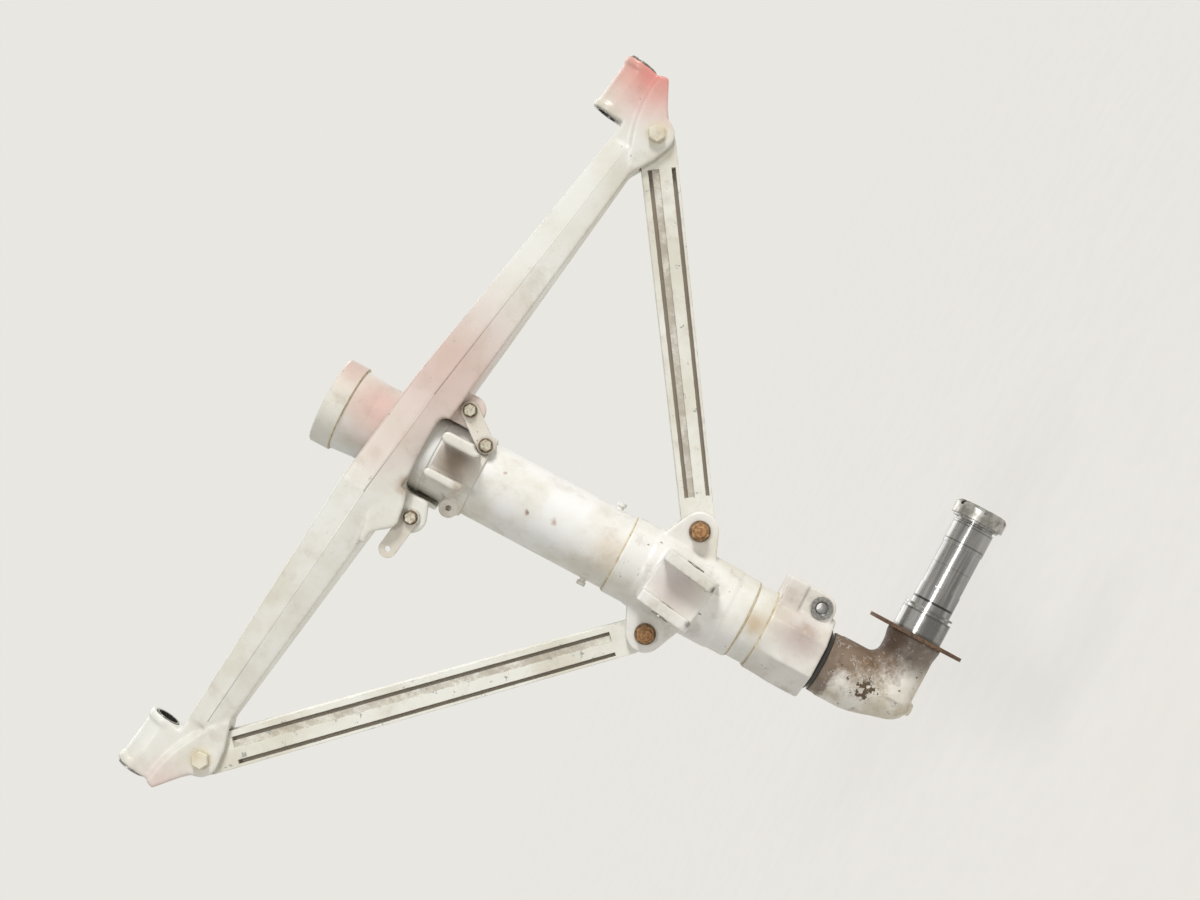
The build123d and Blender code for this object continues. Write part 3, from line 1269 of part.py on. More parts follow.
# Brake flange
with BuildPart() as brake_flange:
    with BuildSketch(facing_x(ELBOW_FACE_X, AXLE_Z)):
        Circle(FLANGE_R)
        Circle(AXLE_SPIGOT_R + FIT, mode=Mode.SUBTRACT)
        with PolarLocations(FLANGE_BOLT_CIRCLE / 2, FLANGE_HOLES):
            Circle(FLANGE_HOLE_R, mode=Mode.SUBTRACT)
    extrude(amount=FLANGE_T)
finish(brake_flange.part, "brake_flange")


def turned_on_axle(points):
    """Revolve an outline of (x, radius) points about the wheel axis."""
    with BuildPart() as body:
        with BuildSketch(Plane.XZ):
            with BuildLine():
                Polyline(*[(x, AXLE_Z + r) for x, r in points], close=True)
            make_face()
        revolve(axis=axle_axis)
    return body.part


shoulder_start = ELBOW_FACE_X + FLANGE_T
spacer_end = GROOVE_END + SPACER_RING_T
finish(
    turned_on_axle(
        [
            (AXLE_SPIGOT_START, AXLE_BORE_R),
            (AXLE_SPIGOT_START, AXLE_SPIGOT_R),
            (shoulder_start, AXLE_SPIGOT_R),
            (shoulder_start, SHOULDER_AXLE_R),
            (SHOULDER_AXLE_END, SHOULDER_AXLE_R),
            (SHOULDER_AXLE_END, GROOVE_R),
            (spacer_end, GROOVE_R),
            (spacer_end, AXLE_SEAT_R),
            (INNER_SEAT_END, AXLE_SEAT_R),
            (INNER_SEAT_END, AXLE_MID_R),
            (OUTER_SEAT_START, AXLE_MID_R),
            (OUTER_SEAT_START, AXLE_SEAT_R),
            (OUTER_SEAT_END, AXLE_SEAT_R),
            (OUTER_SEAT_END, THREAD_R),
            (AXLE_END, THREAD_R),
            (AXLE_END, AXLE_BORE_R),
        ]
    ),
    "wheel_axle",
)
finish(
    turned_on_axle(
        [
            (GROOVE_END, GROOVE_R + FIT),
            (GROOVE_END, SPACER_RING_R),
            (spacer_end, SPACER_RING_R),
            (spacer_end, GROOVE_R + FIT),
        ]
    ),
    "grease_ring",
)
finish(
    turned_on_axle(
        [
            (AXLE_NUT_START - NUT_WASHER_T, THREAD_R + FIT),
            (AXLE_NUT_START - NUT_WASHER_T, AXLE_NUT_R - AXLE_NUT_CHAMFER),
            (AXLE_NUT_START, AXLE_NUT_R - AXLE_NUT_CHAMFER),
            (AXLE_NUT_START, THREAD_R + FIT),
        ]
    ),
    "axle_washer",
)
with BuildPart() as axle_nut:
    add(
        turned_on_axle(
            [
                (AXLE_NUT_START, THREAD_R + FIT),
                (AXLE_NUT_START, AXLE_NUT_R),
                (AXLE_NUT_END - AXLE_NUT_CHAMFER, AXLE_NUT_R),
                (AXLE_NUT_END, AXLE_NUT_R - AXLE_NUT_CHAMFER),
                (AXLE_NUT_END, THREAD_R + FIT),
            ]
        )
    )
    with BuildSketch(facing_x(AXLE_NUT_END - NUT_SLOT_DEPTH, AXLE_Z)):
        with PolarLocations(AXLE_NUT_R, NUT_SLOTS):
            Rectangle((AXLE_NUT_R - THREAD_R) * 1.6, NUT_SLOT_W)
    extrude(amount=NUT_SLOT_DEPTH + 1, mode=Mode.SUBTRACT)
finish(axle_nut.part, "axle_nut")
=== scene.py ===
"""A main landing gear leg: its cast and painted surfaces, sealant, threads and stage."""

import json
import math
from typing import NamedTuple

import bmesh
import bpy
from mathutils import Matrix, Vector


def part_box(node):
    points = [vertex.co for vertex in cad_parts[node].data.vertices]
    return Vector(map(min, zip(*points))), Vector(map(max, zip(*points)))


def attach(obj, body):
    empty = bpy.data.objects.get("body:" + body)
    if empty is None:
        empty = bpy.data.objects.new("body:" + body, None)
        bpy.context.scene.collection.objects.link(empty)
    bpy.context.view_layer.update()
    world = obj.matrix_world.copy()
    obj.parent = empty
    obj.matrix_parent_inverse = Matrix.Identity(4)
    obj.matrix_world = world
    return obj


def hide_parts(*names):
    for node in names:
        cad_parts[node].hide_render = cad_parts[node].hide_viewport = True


bl_info = {
    "name": "Landing gear leg",
    "version": (1, 0, 0),
    "blender": (4, 5, 0),
    "location": "View3D > Sidebar > Landing gear",
    "description": "Gives a landing gear leg its castings, paint, sealant and threads",
    "category": "Object",
}

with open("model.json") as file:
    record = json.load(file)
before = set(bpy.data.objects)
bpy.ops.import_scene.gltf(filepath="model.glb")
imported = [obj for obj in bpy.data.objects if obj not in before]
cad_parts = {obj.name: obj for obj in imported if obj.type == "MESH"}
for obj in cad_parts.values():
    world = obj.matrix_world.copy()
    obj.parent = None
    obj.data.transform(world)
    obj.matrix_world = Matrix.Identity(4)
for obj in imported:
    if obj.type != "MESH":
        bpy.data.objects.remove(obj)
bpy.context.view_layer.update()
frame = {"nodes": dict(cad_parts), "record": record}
NODES = frame["nodes"]
MOUNTS = {mount["name"]: Vector(mount["pos_m"]) for mount in frame["record"]["mounts"]}
MM = 0.001
RAKE = math.radians(8.0)

# Axes that a stain's distance counts along. One that is measured side on goes right through the piece.
EVERY = (1, 1, 1)
SIDE_ON = (1, 0, 1)


def point(x, y, z):
    """Place in metres from millimetres."""
    return Vector((x, y, z)) * MM


def trunnion_point(along, up, y=0.0):
    """Place in metres from millimetres along, above and across the trunnion axis."""
    x = along * math.cos(RAKE) + up * math.sin(RAKE)
    z = up * math.cos(RAKE) - along * math.sin(RAKE)
    return point(x, y, z)


# Axes of the bolts and screws
FORWARD_BOLT = trunnion_point(350.5, -46.5)
AFT_BOLT = trunnion_point(-328.5, -46.5)
FORWARD_EAR_BOLT = point(51.0, 0, -292.4)
AFT_EAR_BOLT = point(-51.0, 0, -292.4)
FORWARD_TAB_SCREW = point(49.9, 0, -65.7)
AFT_TAB_SCREW = point(-56.8, 0, -63.8)
POST_SCREW = point(29.3, 0, -92.1)
KNEE_PIN = MOUNTS["torque_knee"]

# Threads: the bolts' radius, and the stretch that shows between the axle's outer seat and its nut
BOLT_THREAD_RADIUS = 4.74 * MM
AXLE_THREAD_START = Vector((168.3 * MM, 0, MOUNTS["wheel_seat_outer"].z))
AXLE_THREAD_RADIUS = 17.4 * MM
AXLE_THREAD_LENGTH = 2.6 * MM
AXLE_THREAD_PITCH = 1.3 * MM

# Sealant beads: how far out they lie, and the cap's foot above the end of its plug
BARREL_BEAD_OUT = 35.3 * MM
CAP_BEAD_OUT = 38.3 * MM
CAP_FOOT_RISE = 13.1 * MM

# Parting line on the cross arm, in millimetres along, above and out from the trunnion axis
HUB_HALF = 52.0
HUB_LEVEL = -25.75
HUB_FRONT_OUT = 44.3
HUB_BACK_OUT = 43.9
AFT_TIP_ALONG = -298.0
AFT_TIP_OUT = 17.7
FORWARD_TIP_ALONG = 318.0
FORWARD_TIP_OUT = 17.9
TIP_LEVEL = -32.0

# Smoothing passes of the castings' skins, and the share of the arm's triangles that stays
ARM_PASSES = 11
COLLAR_PASSES = 5
ELBOW_PASSES = 6
ARM_KEPT = 0.22

# Stage: each lamp's name, its share of the key light, its width in degrees and the way it shines
LAMPS = (
    ("Key", 1.0, 16, (-0.85, 0.62, -0.55)),
    ("Fill", 0.26, 9, (0.05, 0.9, -0.42)),
    ("Back", 0.35, 50, (-0.2, -1.0, -0.9)),
)
FLOOR_HALF = 9.0
AIM = Vector((0.0727, 0, -0.1816))
LENS_MM = 60
SENSOR_MM = 36


class Spot(NamedTuple):
    """A stain, worn place or overspray that fades out round a centre"""

    centre: Vector
    reach_mm: float
    tint: str
    strength: float
    axes: tuple = EVERY


class Band(NamedTuple):
    """A ring of another colour on a turned piece, between two places along an axis"""

    axis: str
    low_mm: float
    high_mm: float
    tint: str
    strength: float


# Small helpers for meshes


def linear(hex_colour):
    """Linear colour of an sRGB hex value such as "d9d3c3"."""
    shares = [int(hex_colour[i : i + 2], 16) / 255 for i in (0, 2, 4)]
    return [s / 12.92 if s <= 0.04045 else ((s + 0.055) / 1.055) ** 2.4 for s in shares] + [1.0]


def piece_from(bm, name, body, material):
    """Makes a bmesh into a finished piece that rides on a body."""
    mesh = bpy.data.meshes.new(name)
    bmesh.ops.recalc_face_normals(bm, faces=bm.faces)
    bm.to_mesh(mesh)
    bm.free()
    for face in mesh.polygons:
        face.use_smooth = True
    piece = bpy.data.objects.new(name, mesh)
    bpy.context.scene.collection.objects.link(piece)
    mesh.materials.append(material)
    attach(piece, body)
    return piece


def circle(bm, segments, radius, placed):
    """Circle to be spun. Returns its vertices and edges."""
    verts = bmesh.ops.create_circle(bm, segments=segments, radius=radius, matrix=placed)["verts"]
    return verts + list({edge for vert in verts for edge in vert.link_edges})


def bead(bm, z, out, radius, segments=8, steps=96):
    """Round bead laid about the strut's axis at a height."""
    placed = Matrix.Translation((out, 0, z)) @ Matrix.Rotation(math.radians(90), 4, "X")
    bmesh.ops.spin(
        bm,
        geom=circle(bm, segments, radius, placed),
        cent=(0, 0, 0),
        axis=(0, 0, 1),
        dvec=(0, 0, 0),
        angle=math.tau,
        steps=steps,
        use_merge=True,
    )


def thread(bm, start, axis, radius, length, pitch, segments=4, steps_a_turn=32):
    """Thread ridge that climbs a bolt's cylinder from start."""
    axis = Vector(axis).normalized()
    side = axis.orthogonal().normalized()
    turned = Matrix((side, axis, side.cross(axis))).transposed().to_4x4()
    placed = Matrix.Translation(Vector(start) + side * radius) @ turned
    ridge = pitch * 0.3
    turns = math.floor(length / pitch)
    bmesh.ops.spin(
        bm,
        geom=circle(bm, segments, ridge, placed),
        cent=start,
        axis=axis,
        dvec=axis * (pitch / steps_a_turn),
        angle=math.tau * turns,
        steps=steps_a_turn * turns,
    )
    bmesh.ops.holes_fill(bm, edges=bm.edges, sides=segments)


def modified(bm, kind, **settings):
    """Puts a bmesh through one modifier and returns what comes out as a new bmesh."""
    mesh = bpy.data.meshes.new("unmodified")
    bm.to_mesh(mesh)
    bm.free()
    source = bpy.data.objects.new("unmodified", mesh)
    bpy.context.scene.collection.objects.link(source)
    modifier = source.modifiers.new(kind, kind)
    for key, value in settings.items():
        setattr(modifier, key, value)
    bpy.context.view_layer.update()
    shape = source.evaluated_get(bpy.context.evaluated_depsgraph_get())
    result = bmesh.new()
    result.from_mesh(shape.to_mesh())
    bpy.data.objects.remove(source)
    return result


def cast_skin(name, node, body, voxel, passes, material, kept=1.0):
    """Copy of a CAD casting with every edge and corner rounded as a sand or forged part has them.
    kept is the share of its triangles that stays after the flats are thinned."""
    bm = bmesh.new()
    bm.from_mesh(NODES[node].data)
    bmesh.ops.remove_doubles(bm, verts=bm.verts, dist=0.01 * MM)
    bm = modified(bm, "REMESH", mode="VOXEL", voxel_size=voxel)
    for _ in range(passes):
        bmesh.ops.smooth_vert(
            bm, verts=bm.verts, factor=0.5, use_axis_x=True, use_axis_y=True, use_axis_z=True
        )
    if kept < 1.0:
        bm = modified(bm, "DECIMATE", ratio=kept)
    piece = piece_from(bm, name, body, material)
    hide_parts(node)
    finish_nodes(material, node)


def finish_nodes(material, *names):
    """Gives a material to CAD nodes."""
    for name in names:
        mesh = NODES[name].data
        mesh.materials.clear()
        mesh.materials.append(material)


# Small helpers for materials


def add(tree, kind, inputs=None, **settings):
    """Adds a node. Each input is a value, or the socket that is linked to it."""
    new = tree.nodes.new(kind)
    for key, value in settings.items():
        setattr(new, key, value)
    for key, value in (inputs or {}).items():
        if isinstance(value, bpy.types.NodeSocket):
            tree.links.new(value, new.inputs[key])
        else:
            new.inputs[key].default_value = value
    return new


def blank(name):
    """New material with only the tree's Object coordinates."""
    material = bpy.data.materials.new(name)
    material.use_nodes = True
    tree = material.node_tree
    tree.nodes.clear()
    place = add(tree, "ShaderNodeTexCoord").outputs["Object"]
    return material, tree, place


def cloud(tree, place, grain_mm, low, high, detail=5.0, rough=0.6):
    """Mask in lumps about grain_mm across: noise between two of its levels."""
    inputs = {"Vector": place, "Scale": 1 / (grain_mm * MM), "Detail": detail, "Roughness": rough}
    lumps = add(tree, "ShaderNodeTexNoise", inputs).outputs["Fac"]
    inputs = {"Value": lumps, "From Min": low, "From Max": high}
    return add(tree, "ShaderNodeMapRange", inputs, interpolation_type="SMOOTHSTEP").outputs[0]


def coat(tree, colour, tint, mask, strength=1.0):
    """Lays a tint over a colour where the mask is 1."""
    share = add(tree, "ShaderNodeMath", {0: mask, 1: strength}, operation="MULTIPLY").outputs[0]
    inputs = {"Factor": share, 6: colour, 7: linear(tint)}
    return add(tree, "ShaderNodeMix", inputs, data_type="RGBA").outputs[2]


def near(tree, place, centre, reach_mm, axes=EVERY):
    """1 at a centre, falling to 0 at its reach. An axis that has 0 in axes is left out."""
    flat = add(tree, "ShaderNodeVectorMath", {0: place, 1: axes}, operation="MULTIPLY").outputs[0]
    inputs = {0: flat, 1: [along * axis for along, axis in zip(centre, axes)]}
    gap = add(tree, "ShaderNodeVectorMath", inputs, operation="DISTANCE").outputs["Value"]
    inputs = {"Value": gap, "From Min": 0.0, "From Max": reach_mm * MM, "To Min": 1.0, "To Max": 0.0}
    return add(tree, "ShaderNodeMapRange", inputs, interpolation_type="SMOOTHSTEP").outputs[0]


def stained(tree, place, colour, spot):
    """Lays a spot's tint over a colour."""
    mask = near(tree, place, spot.centre, spot.reach_mm, spot.axes)
    return coat(tree, colour, spot.tint, mask, spot.strength)


def between(tree, place, axis, low_mm, high_mm, blur_mm):
    """1 between two places along an axis, with soft ends."""
    along = add(tree, "ShaderNodeSeparateXYZ", {"Vector": place}).outputs[axis]
    low, high, blur = low_mm * MM, high_mm * MM, blur_mm * MM
    inputs = {"Value": along, "From Min": low - blur, "From Max": low + blur}
    rise = add(tree, "ShaderNodeMapRange", inputs).outputs[0]
    inputs = {"Value": along, "From Min": high - blur, "From Max": high + blur, "To Min": 1.0, "To Max": 0.0}
    fall = add(tree, "ShaderNodeMapRange", inputs).outputs[0]
    return add(tree, "ShaderNodeMath", {0: rise, 1: fall}, operation="MULTIPLY").outputs[0]


def drifted(tree, place, reach_mm):
    """Coordinates that wander by a few millimetres, in lumps about 9 mm across, so that the edge of a
    stain isn't a clean curve."""
    inputs = {"Vector": place, "Scale": 110.0, "Detail": 6.0, "Roughness": 0.65}
    noise = add(tree, "ShaderNodeTexNoise", inputs).outputs["Color"]
    inputs = {0: noise, 1: (0.5, 0.5, 0.5)}
    offset = add(tree, "ShaderNodeVectorMath", inputs, operation="SUBTRACT").outputs[0]
    inputs = {0: offset, 1: (reach_mm * MM,) * 3, 2: place}
    return add(tree, "ShaderNodeVectorMath", inputs, operation="MULTIPLY_ADD").outputs[0]


def sunk_faces(tree, place, face_mm):
    """1 on faces that look along Y and lie nearer the middle than face_mm."""
    y = add(tree, "ShaderNodeSeparateXYZ", {"Vector": place}).outputs["Y"]
    off = add(tree, "ShaderNodeMath", {0: y}, operation="ABSOLUTE").outputs[0]
    sunk = add(tree, "ShaderNodeMath", {0: off, 1: face_mm * MM}, operation="LESS_THAN").outputs[0]
    normal = add(tree, "ShaderNodeNewGeometry").outputs["True Normal"]
    turn = add(tree, "ShaderNodeSeparateXYZ", {"Vector": normal}).outputs["Y"]
    square = add(tree, "ShaderNodeMath", {0: turn}, operation="ABSOLUTE").outputs[0]
    level = add(tree, "ShaderNodeMath", {0: square, 1: 0.7}, operation="GREATER_THAN").outputs[0]
    return add(tree, "ShaderNodeMath", {0: sunk, 1: level}, operation="MULTIPLY").outputs[0]


def soft_edges(tree, radius_mm):
    """Normal rounded over a small radius, and a mask of the edges that it turns. The mask is full
    where the normal has turned by about 30 degrees."""
    rounded = add(tree, "ShaderNodeBevel", {"Radius": radius_mm * MM}, samples=6).outputs[0]
    flat = add(tree, "ShaderNodeNewGeometry").outputs["Normal"]
    inputs = {0: rounded, 1: flat}
    turn = add(tree, "ShaderNodeVectorMath", inputs, operation="DOT_PRODUCT").outputs["Value"]
    edges = add(tree, "ShaderNodeMapRange", {"Value": turn, "From Min": 0.995, "From Max": 0.86}).outputs[0]
    return rounded, edges


def groove_dirt_and_step_shade(tree, place, wander, colour, groove_mm):
    """Grey-brown dirt packed in an extrusion's groove, whose floor lies nearer the middle than groove_mm, and
    painted shade in streaks along the step beside it."""
    step_mm = groove_mm + 2.2
    colour = coat(tree, colour, "8f8070", sunk_faces(tree, place, groove_mm), 0.85)
    # Painted shade: a tan band in streaks on the lower step beside the groove
    lengthwise = add(tree, "ShaderNodeMapping", {"Vector": wander, "Scale": (1, 3, 0.6)}).outputs[0]
    painted_step_shade = cloud(tree, lengthwise, grain_mm=14, low=0.32, high=0.6, detail=7.0, rough=0.7)
    inputs = {0: painted_step_shade, 1: sunk_faces(tree, place, step_mm)}
    painted_step_shade = add(tree, "ShaderNodeMath", inputs, operation="MULTIPLY").outputs[0]
    return coat(tree, colour, "9c8f7f", painted_step_shade, 0.7)


# Kinds of finish


def enamel(
    name,
    paint,
    aged,
    spots=(),
    stains=0.45,
    chip_mm=5.0,
    chips=0.68,
    bare="7d7a74",
    groove_mm=None,
    edge_mm=0.9,
):
    """Off-white polyurethane enamel, brushed and sprayed over alloy and steel: a soft gloss that has
    yellowed in clouds, with oily grime in patches, and chips down to the metal along the edges.
    The higher chips is, the fewer of them there are, and chip_mm is about how wide one is."""
    material, tree, place = blank(name)
    wander = drifted(tree, place, reach_mm=9)
    yellowed = cloud(tree, place, grain_mm=70, low=0.38, high=0.66)
    colour = coat(tree, linear(paint), aged, yellowed)
    for spot in spots:
        colour = stained(tree, wander, colour, spot)
    if groove_mm:
        colour = groove_dirt_and_step_shade(tree, place, wander, colour, groove_mm)
    grime = cloud(tree, place, grain_mm=26, low=0.5, high=0.72, detail=9.0, rough=0.72)
    colour = coat(tree, colour, "94806a", grime, stains)
    specks = cloud(tree, place, grain_mm=3.2, low=0.72, high=0.78, detail=3.0)
    colour = coat(tree, colour, "6f5b45", specks, 0.55)
    rounded, edges = soft_edges(tree, edge_mm)
    inputs = {"Vector": place, "Scale": 1 / (chip_mm * MM), "Detail": 9.0, "Roughness": 0.66}
    flakes = add(tree, "ShaderNodeTexNoise", inputs).outputs["Fac"]
    worn = add(tree, "ShaderNodeMath", {0: edges, 1: 0.13, 2: flakes}, operation="MULTIPLY_ADD").outputs[0]
    inputs = {"Value": worn, "From Min": chips, "From Max": chips + 0.012}
    bared = add(tree, "ShaderNodeMapRange", inputs).outputs[0]
    colour = coat(tree, colour, bare, bared)
    orange_peel = cloud(tree, place, grain_mm=1.1, low=0.0, high=1.0, detail=2.0)
    height = add(tree, "ShaderNodeMath", {0: orange_peel, 1: 0.14}, operation="MULTIPLY").outputs[0]
    height = add(tree, "ShaderNodeMath", {0: height, 1: bared}, operation="SUBTRACT").outputs[0]
    inputs = {"Strength": 0.35, "Distance": 0.25 * MM, "Height": height, "Normal": rounded}
    bump = add(tree, "ShaderNodeBump", inputs).outputs[0]
    rough = add(tree, "ShaderNodeMapRange", {"Value": grime, "To Min": 0.34, "To Max": 0.58}).outputs[0]
    inputs = {"Base Color": colour, "Roughness": rough, "Normal": bump}
    shader = add(tree, "ShaderNodeBsdfPrincipled", inputs)
    add(tree, "ShaderNodeOutputMaterial", {"Surface": shader.outputs[0]})
    return material


def worked_metal(
    name,
    bright,
    dull,
    rough,
    grain_mm,
    stretch=EVERY,
    bands=(),
    spots=(),
    dirt=0.3,
    soil="4a3d30",
    haze=0.2,
):
    """Bare or plated metal with tool marks, dulled in blotches by handling and old grease.
    haze is how much rougher the blotches are."""
    material, tree, place = blank(name)
    drawn = add(tree, "ShaderNodeMapping", {"Vector": place, "Scale": stretch}).outputs[0]
    marks = cloud(tree, drawn, grain_mm, low=0.35, high=0.65, detail=4.0)
    colour = coat(tree, linear(dull), bright, marks)
    blotch = cloud(tree, place, grain_mm=11, low=0.5, high=0.74, detail=8.0, rough=0.7)
    colour = coat(tree, colour, soil, blotch, dirt)
    for band in bands:
        ring = between(tree, place, band.axis, band.low_mm, band.high_mm, blur_mm=0.15)
        colour = coat(tree, colour, band.tint, ring, band.strength)
    for spot in spots:
        colour = stained(tree, place, colour, spot)
    rounded = add(tree, "ShaderNodeBevel", {"Radius": 0.4 * MM}, samples=6).outputs[0]
    inputs = {"Strength": 0.2, "Distance": 0.05 * MM, "Height": marks, "Normal": rounded}
    bump = add(tree, "ShaderNodeBump", inputs).outputs[0]
    inputs = {"Value": blotch, "To Min": rough, "To Max": rough + haze}
    uneven = add(tree, "ShaderNodeMapRange", inputs).outputs[0]
    inputs = {"Base Color": colour, "Metallic": 1.0, "Roughness": uneven, "Normal": bump}
    shader = add(tree, "ShaderNodeBsdfPrincipled", inputs)
    add(tree, "ShaderNodeOutputMaterial", {"Surface": shader.outputs[0]})
    return material


def rusted(name, light, dark, gleam="9a9184"):
    """Steel under surface rust: powdery orange over brown, lighter along the edges, partly as metal rubbed
    back and partly as a painted highlight that brings out the shape.
    """
    material, tree, place = blank(name)
    bloom = cloud(tree, place, grain_mm=3.0, low=0.38, high=0.62, detail=8.0, rough=0.7)
    colour = coat(tree, linear(dark), light, bloom)
    rounded, edges = soft_edges(tree, 0.5)
    # Painted highlight and wear: the edges are laid over with the lighter gleam colour
    colour = coat(tree, colour, gleam, edges, 0.75)
    inputs = {"Strength": 0.3, "Distance": 0.1 * MM, "Height": bloom, "Normal": rounded}
    bump = add(tree, "ShaderNodeBump", inputs).outputs[0]
    shader = add(tree, "ShaderNodeBsdfPrincipled", {"Base Color": colour, "Roughness": 0.7, "Normal": bump})
    add(tree, "ShaderNodeOutputMaterial", {"Surface": shader.outputs[0]})
    return material


def plain_solid(name, main, other, rough, grain_mm):
    """Rubber, sealant and other soft compounds: matte, with small lumps and no gleam."""
    material, tree, place = blank(name)
    lumps = cloud(tree, place, grain_mm, low=0.35, high=0.68)
    colour = coat(tree, linear(main), other, lumps)
    inputs = {"Strength": 0.4, "Distance": 0.2 * MM, "Height": lumps}
    bump = add(tree, "ShaderNodeBump", inputs).outputs[0]
    shader = add(tree, "ShaderNodeBsdfPrincipled", {"Base Color": colour, "Roughness": rough, "Normal": bump})
    add(tree, "ShaderNodeOutputMaterial", {"Surface": shader.outputs[0]})
    return material


# Finishes of the castings


def arm_spots(paint):
    """What has marked the cross arm's paint, and painted shade in its front window."""
    return (
        # Overspray by the hub and at both tips
        Spot(trunnion_point(72, -18, -40), 125, paint.faded, 0.6),
        Spot(trunnion_point(-10, -10, -40), 55, "ccb8ad", 0.55),
        Spot(trunnion_point(398, -16), 69, paint.overspray, 0.85),
        Spot(trunnion_point(-372, -40), 50, "c48f86", 0.6),
        # Rust beside the front window, and dark brown in it that is grime and painted shade of the deep
        # window
        Spot(point(-34, -43, -47), 12, "8a6a4a", 0.75),
        Spot(point(0, -30, -60), 34, "7b6858", 0.9),
        # Old primer round the tip bolts, and grime round the screws
        Spot(FORWARD_BOLT, 15.5, "d2c6a4", 0.8, SIDE_ON),
        Spot(AFT_BOLT, 15.5, "cdbf98", 0.8, SIDE_ON),
        Spot(FORWARD_TAB_SCREW, 10.5, "6e5b4a", 0.9, SIDE_ON),
        Spot(AFT_TAB_SCREW, 10.5, "6e5b4a", 0.8, SIDE_ON),
    )


def arm_enamel(paint):
    """Enamel on the alloy forging, cleaner than on the other pieces."""
    return enamel("enamel on alloy forging", paint.paint, paint.aged, arm_spots(paint), stains=0.22)


def parting_line_enamel(paint):
    """The forging's enamel on its thin parting line, which is all edge, so that it hardly chips."""
    spots = arm_spots(paint)
    return enamel(
        "enamel on parting line", paint.paint, paint.aged, spots, stains=0.22, chips=0.98, edge_mm=0.1
    )


def collar_enamel(paint):
    """Enamel on the brace collar, chipped down to dark steel."""
    spots = (
        # Bare primer in the side brace clevis, and knocks on its edges
        Spot(point(-3, -41, -296), 34, "c6bab5", 0.85),
        Spot(point(-24, -56, -318), 6, "3a3330", 0.9),
        Spot(point(12, -58, -323), 5, "3a3330", 0.9),
        # Rust stains round the ear bolts
        Spot(FORWARD_EAR_BOLT, 12.5, "7a5a3c", 0.8, SIDE_ON),
        Spot(AFT_EAR_BOLT, 12.5, "7a5a3c", 0.8, SIDE_ON),
    )
    return enamel(
        "enamel on steel collar", "dfddd7", paint.aged, spots, stains=0.4, chips=0.665, bare="3a332d"
    )


def knee_enamel():
    """Enamel on the knee collar, greyer than on the collar above."""
    spots = (
        # Pink primer on the front flat
        Spot(point(12, -38, -412), 30, "b5a5a0", 0.8),
        # Grime round the pin's bore, and a faint film above the lug
        Spot(KNEE_PIN, 12.5, "5b4c40", 0.75, SIDE_ON),
        Spot(point(45, -30, -390), 20, "bdb0a4", 0.5),
    )
    return enamel("enamel on steel knee collar", "dad7d0", "c4bbad", spots, stains=0.5)


def saddle_enamel(paint):
    """Enamel on the uplock saddle."""
    spots = (
        # Grime and painted shade between the lugs, grime round the post's screw and on the aft lug
        Spot(point(4, -36, -74), 34, "7d6c5a", 0.95),
        Spot(POST_SCREW, 10.5, "6e5b4a", 0.8, SIDE_ON),
        Spot(point(-13.4, -58, -88), 8, "8d7560", 0.7),
    )
    return enamel("enamel on alloy saddle", "dad6cc", paint.aged, spots, stains=0.5)


def corroded_elbow():
    """Steel casting whose off-white paint is stained brown with oil and brake dust from the axle's
    side and along the rim, and has come off in one patch that shows the brown metal."""
    throat = point(40, -6, -458)
    peeled = point(-1, -29, -485)
    material, tree, place = blank("peeled enamel on rusty steel")
    wander = drifted(tree, place, reach_mm=16)
    yellowed = cloud(tree, place, grain_mm=30, low=0.4, high=0.7)
    colour = coat(tree, linear("dedad0"), "c2b8a4", yellowed)
    oily = near(tree, wander, throat, reach_mm=70)
    ragged = cloud(tree, place, grain_mm=13, low=0.3, high=0.7, detail=9.0, rough=0.72)
    soil = add(tree, "ShaderNodeMath", {0: oily, 1: 2.6, 2: ragged}, operation="MULTIPLY_ADD").outputs[0]
    soil = add(tree, "ShaderNodeMapRange", {"Value": soil, "From Min": 0.55, "From Max": 1.75}).outputs[0]
    colour = coat(tree, colour, "6d5640", soil, 0.92)
    axle_side = between(tree, wander, "X", low_mm=30, high_mm=70, blur_mm=11)
    colour = coat(tree, colour, "5d4a3a", axle_side, 0.85)
    rim = between(tree, wander, "Z", low_mm=-453.5, high_mm=-430, blur_mm=2)
    colour = coat(tree, colour, "6a5848", rim, 0.85)
    oil = cloud(tree, wander, grain_mm=9, low=0.52, high=0.7, detail=8.0, rough=0.7)
    colour = coat(tree, colour, "4a3a2d", oil, soil)
    bloom = cloud(tree, place, grain_mm=5, low=0.6, high=0.74, detail=6.0)
    colour = coat(tree, colour, "8f6e4a", bloom, soil)
    patch = near(tree, drifted(tree, place, reach_mm=34), peeled, reach_mm=16.5)
    flakes = cloud(tree, place, grain_mm=7, low=0.3, high=0.7, detail=9.0, rough=0.72)
    worn = add(tree, "ShaderNodeMath", {0: patch, 1: 0.75, 2: flakes}, operation="MULTIPLY_ADD").outputs[0]
    bared = add(tree, "ShaderNodeMapRange", {"Value": worn, "From Min": 0.86, "From Max": 0.9}).outputs[0]
    lifted = add(tree, "ShaderNodeMapRange", {"Value": worn, "From Min": 0.8, "From Max": 0.86}).outputs[0]
    colour = coat(tree, colour, "efeae0", lifted, 0.7)
    colour = coat(tree, colour, "54432f", bared)
    rounded, edges = soft_edges(tree, 0.8)
    colour = coat(tree, colour, "6b5a4a", edges, 0.6)
    skin = cloud(tree, place, grain_mm=1.6, low=0.0, high=1.0)
    height = add(tree, "ShaderNodeMath", {0: skin, 1: bared}, operation="SUBTRACT").outputs[0]
    inputs = {"Strength": 0.45, "Distance": 0.3 * MM, "Height": height, "Normal": rounded}
    bump = add(tree, "ShaderNodeBump", inputs).outputs[0]
    rough = add(tree, "ShaderNodeMapRange", {"Value": soil, "To Min": 0.42, "To Max": 0.62}).outputs[0]
    shader = add(tree, "ShaderNodeBsdfPrincipled", {"Base Color": colour, "Roughness": rough, "Normal": bump})
    add(tree, "ShaderNodeOutputMaterial", {"Surface": shader.outputs[0]})
    return material


# Finishes of the other pieces


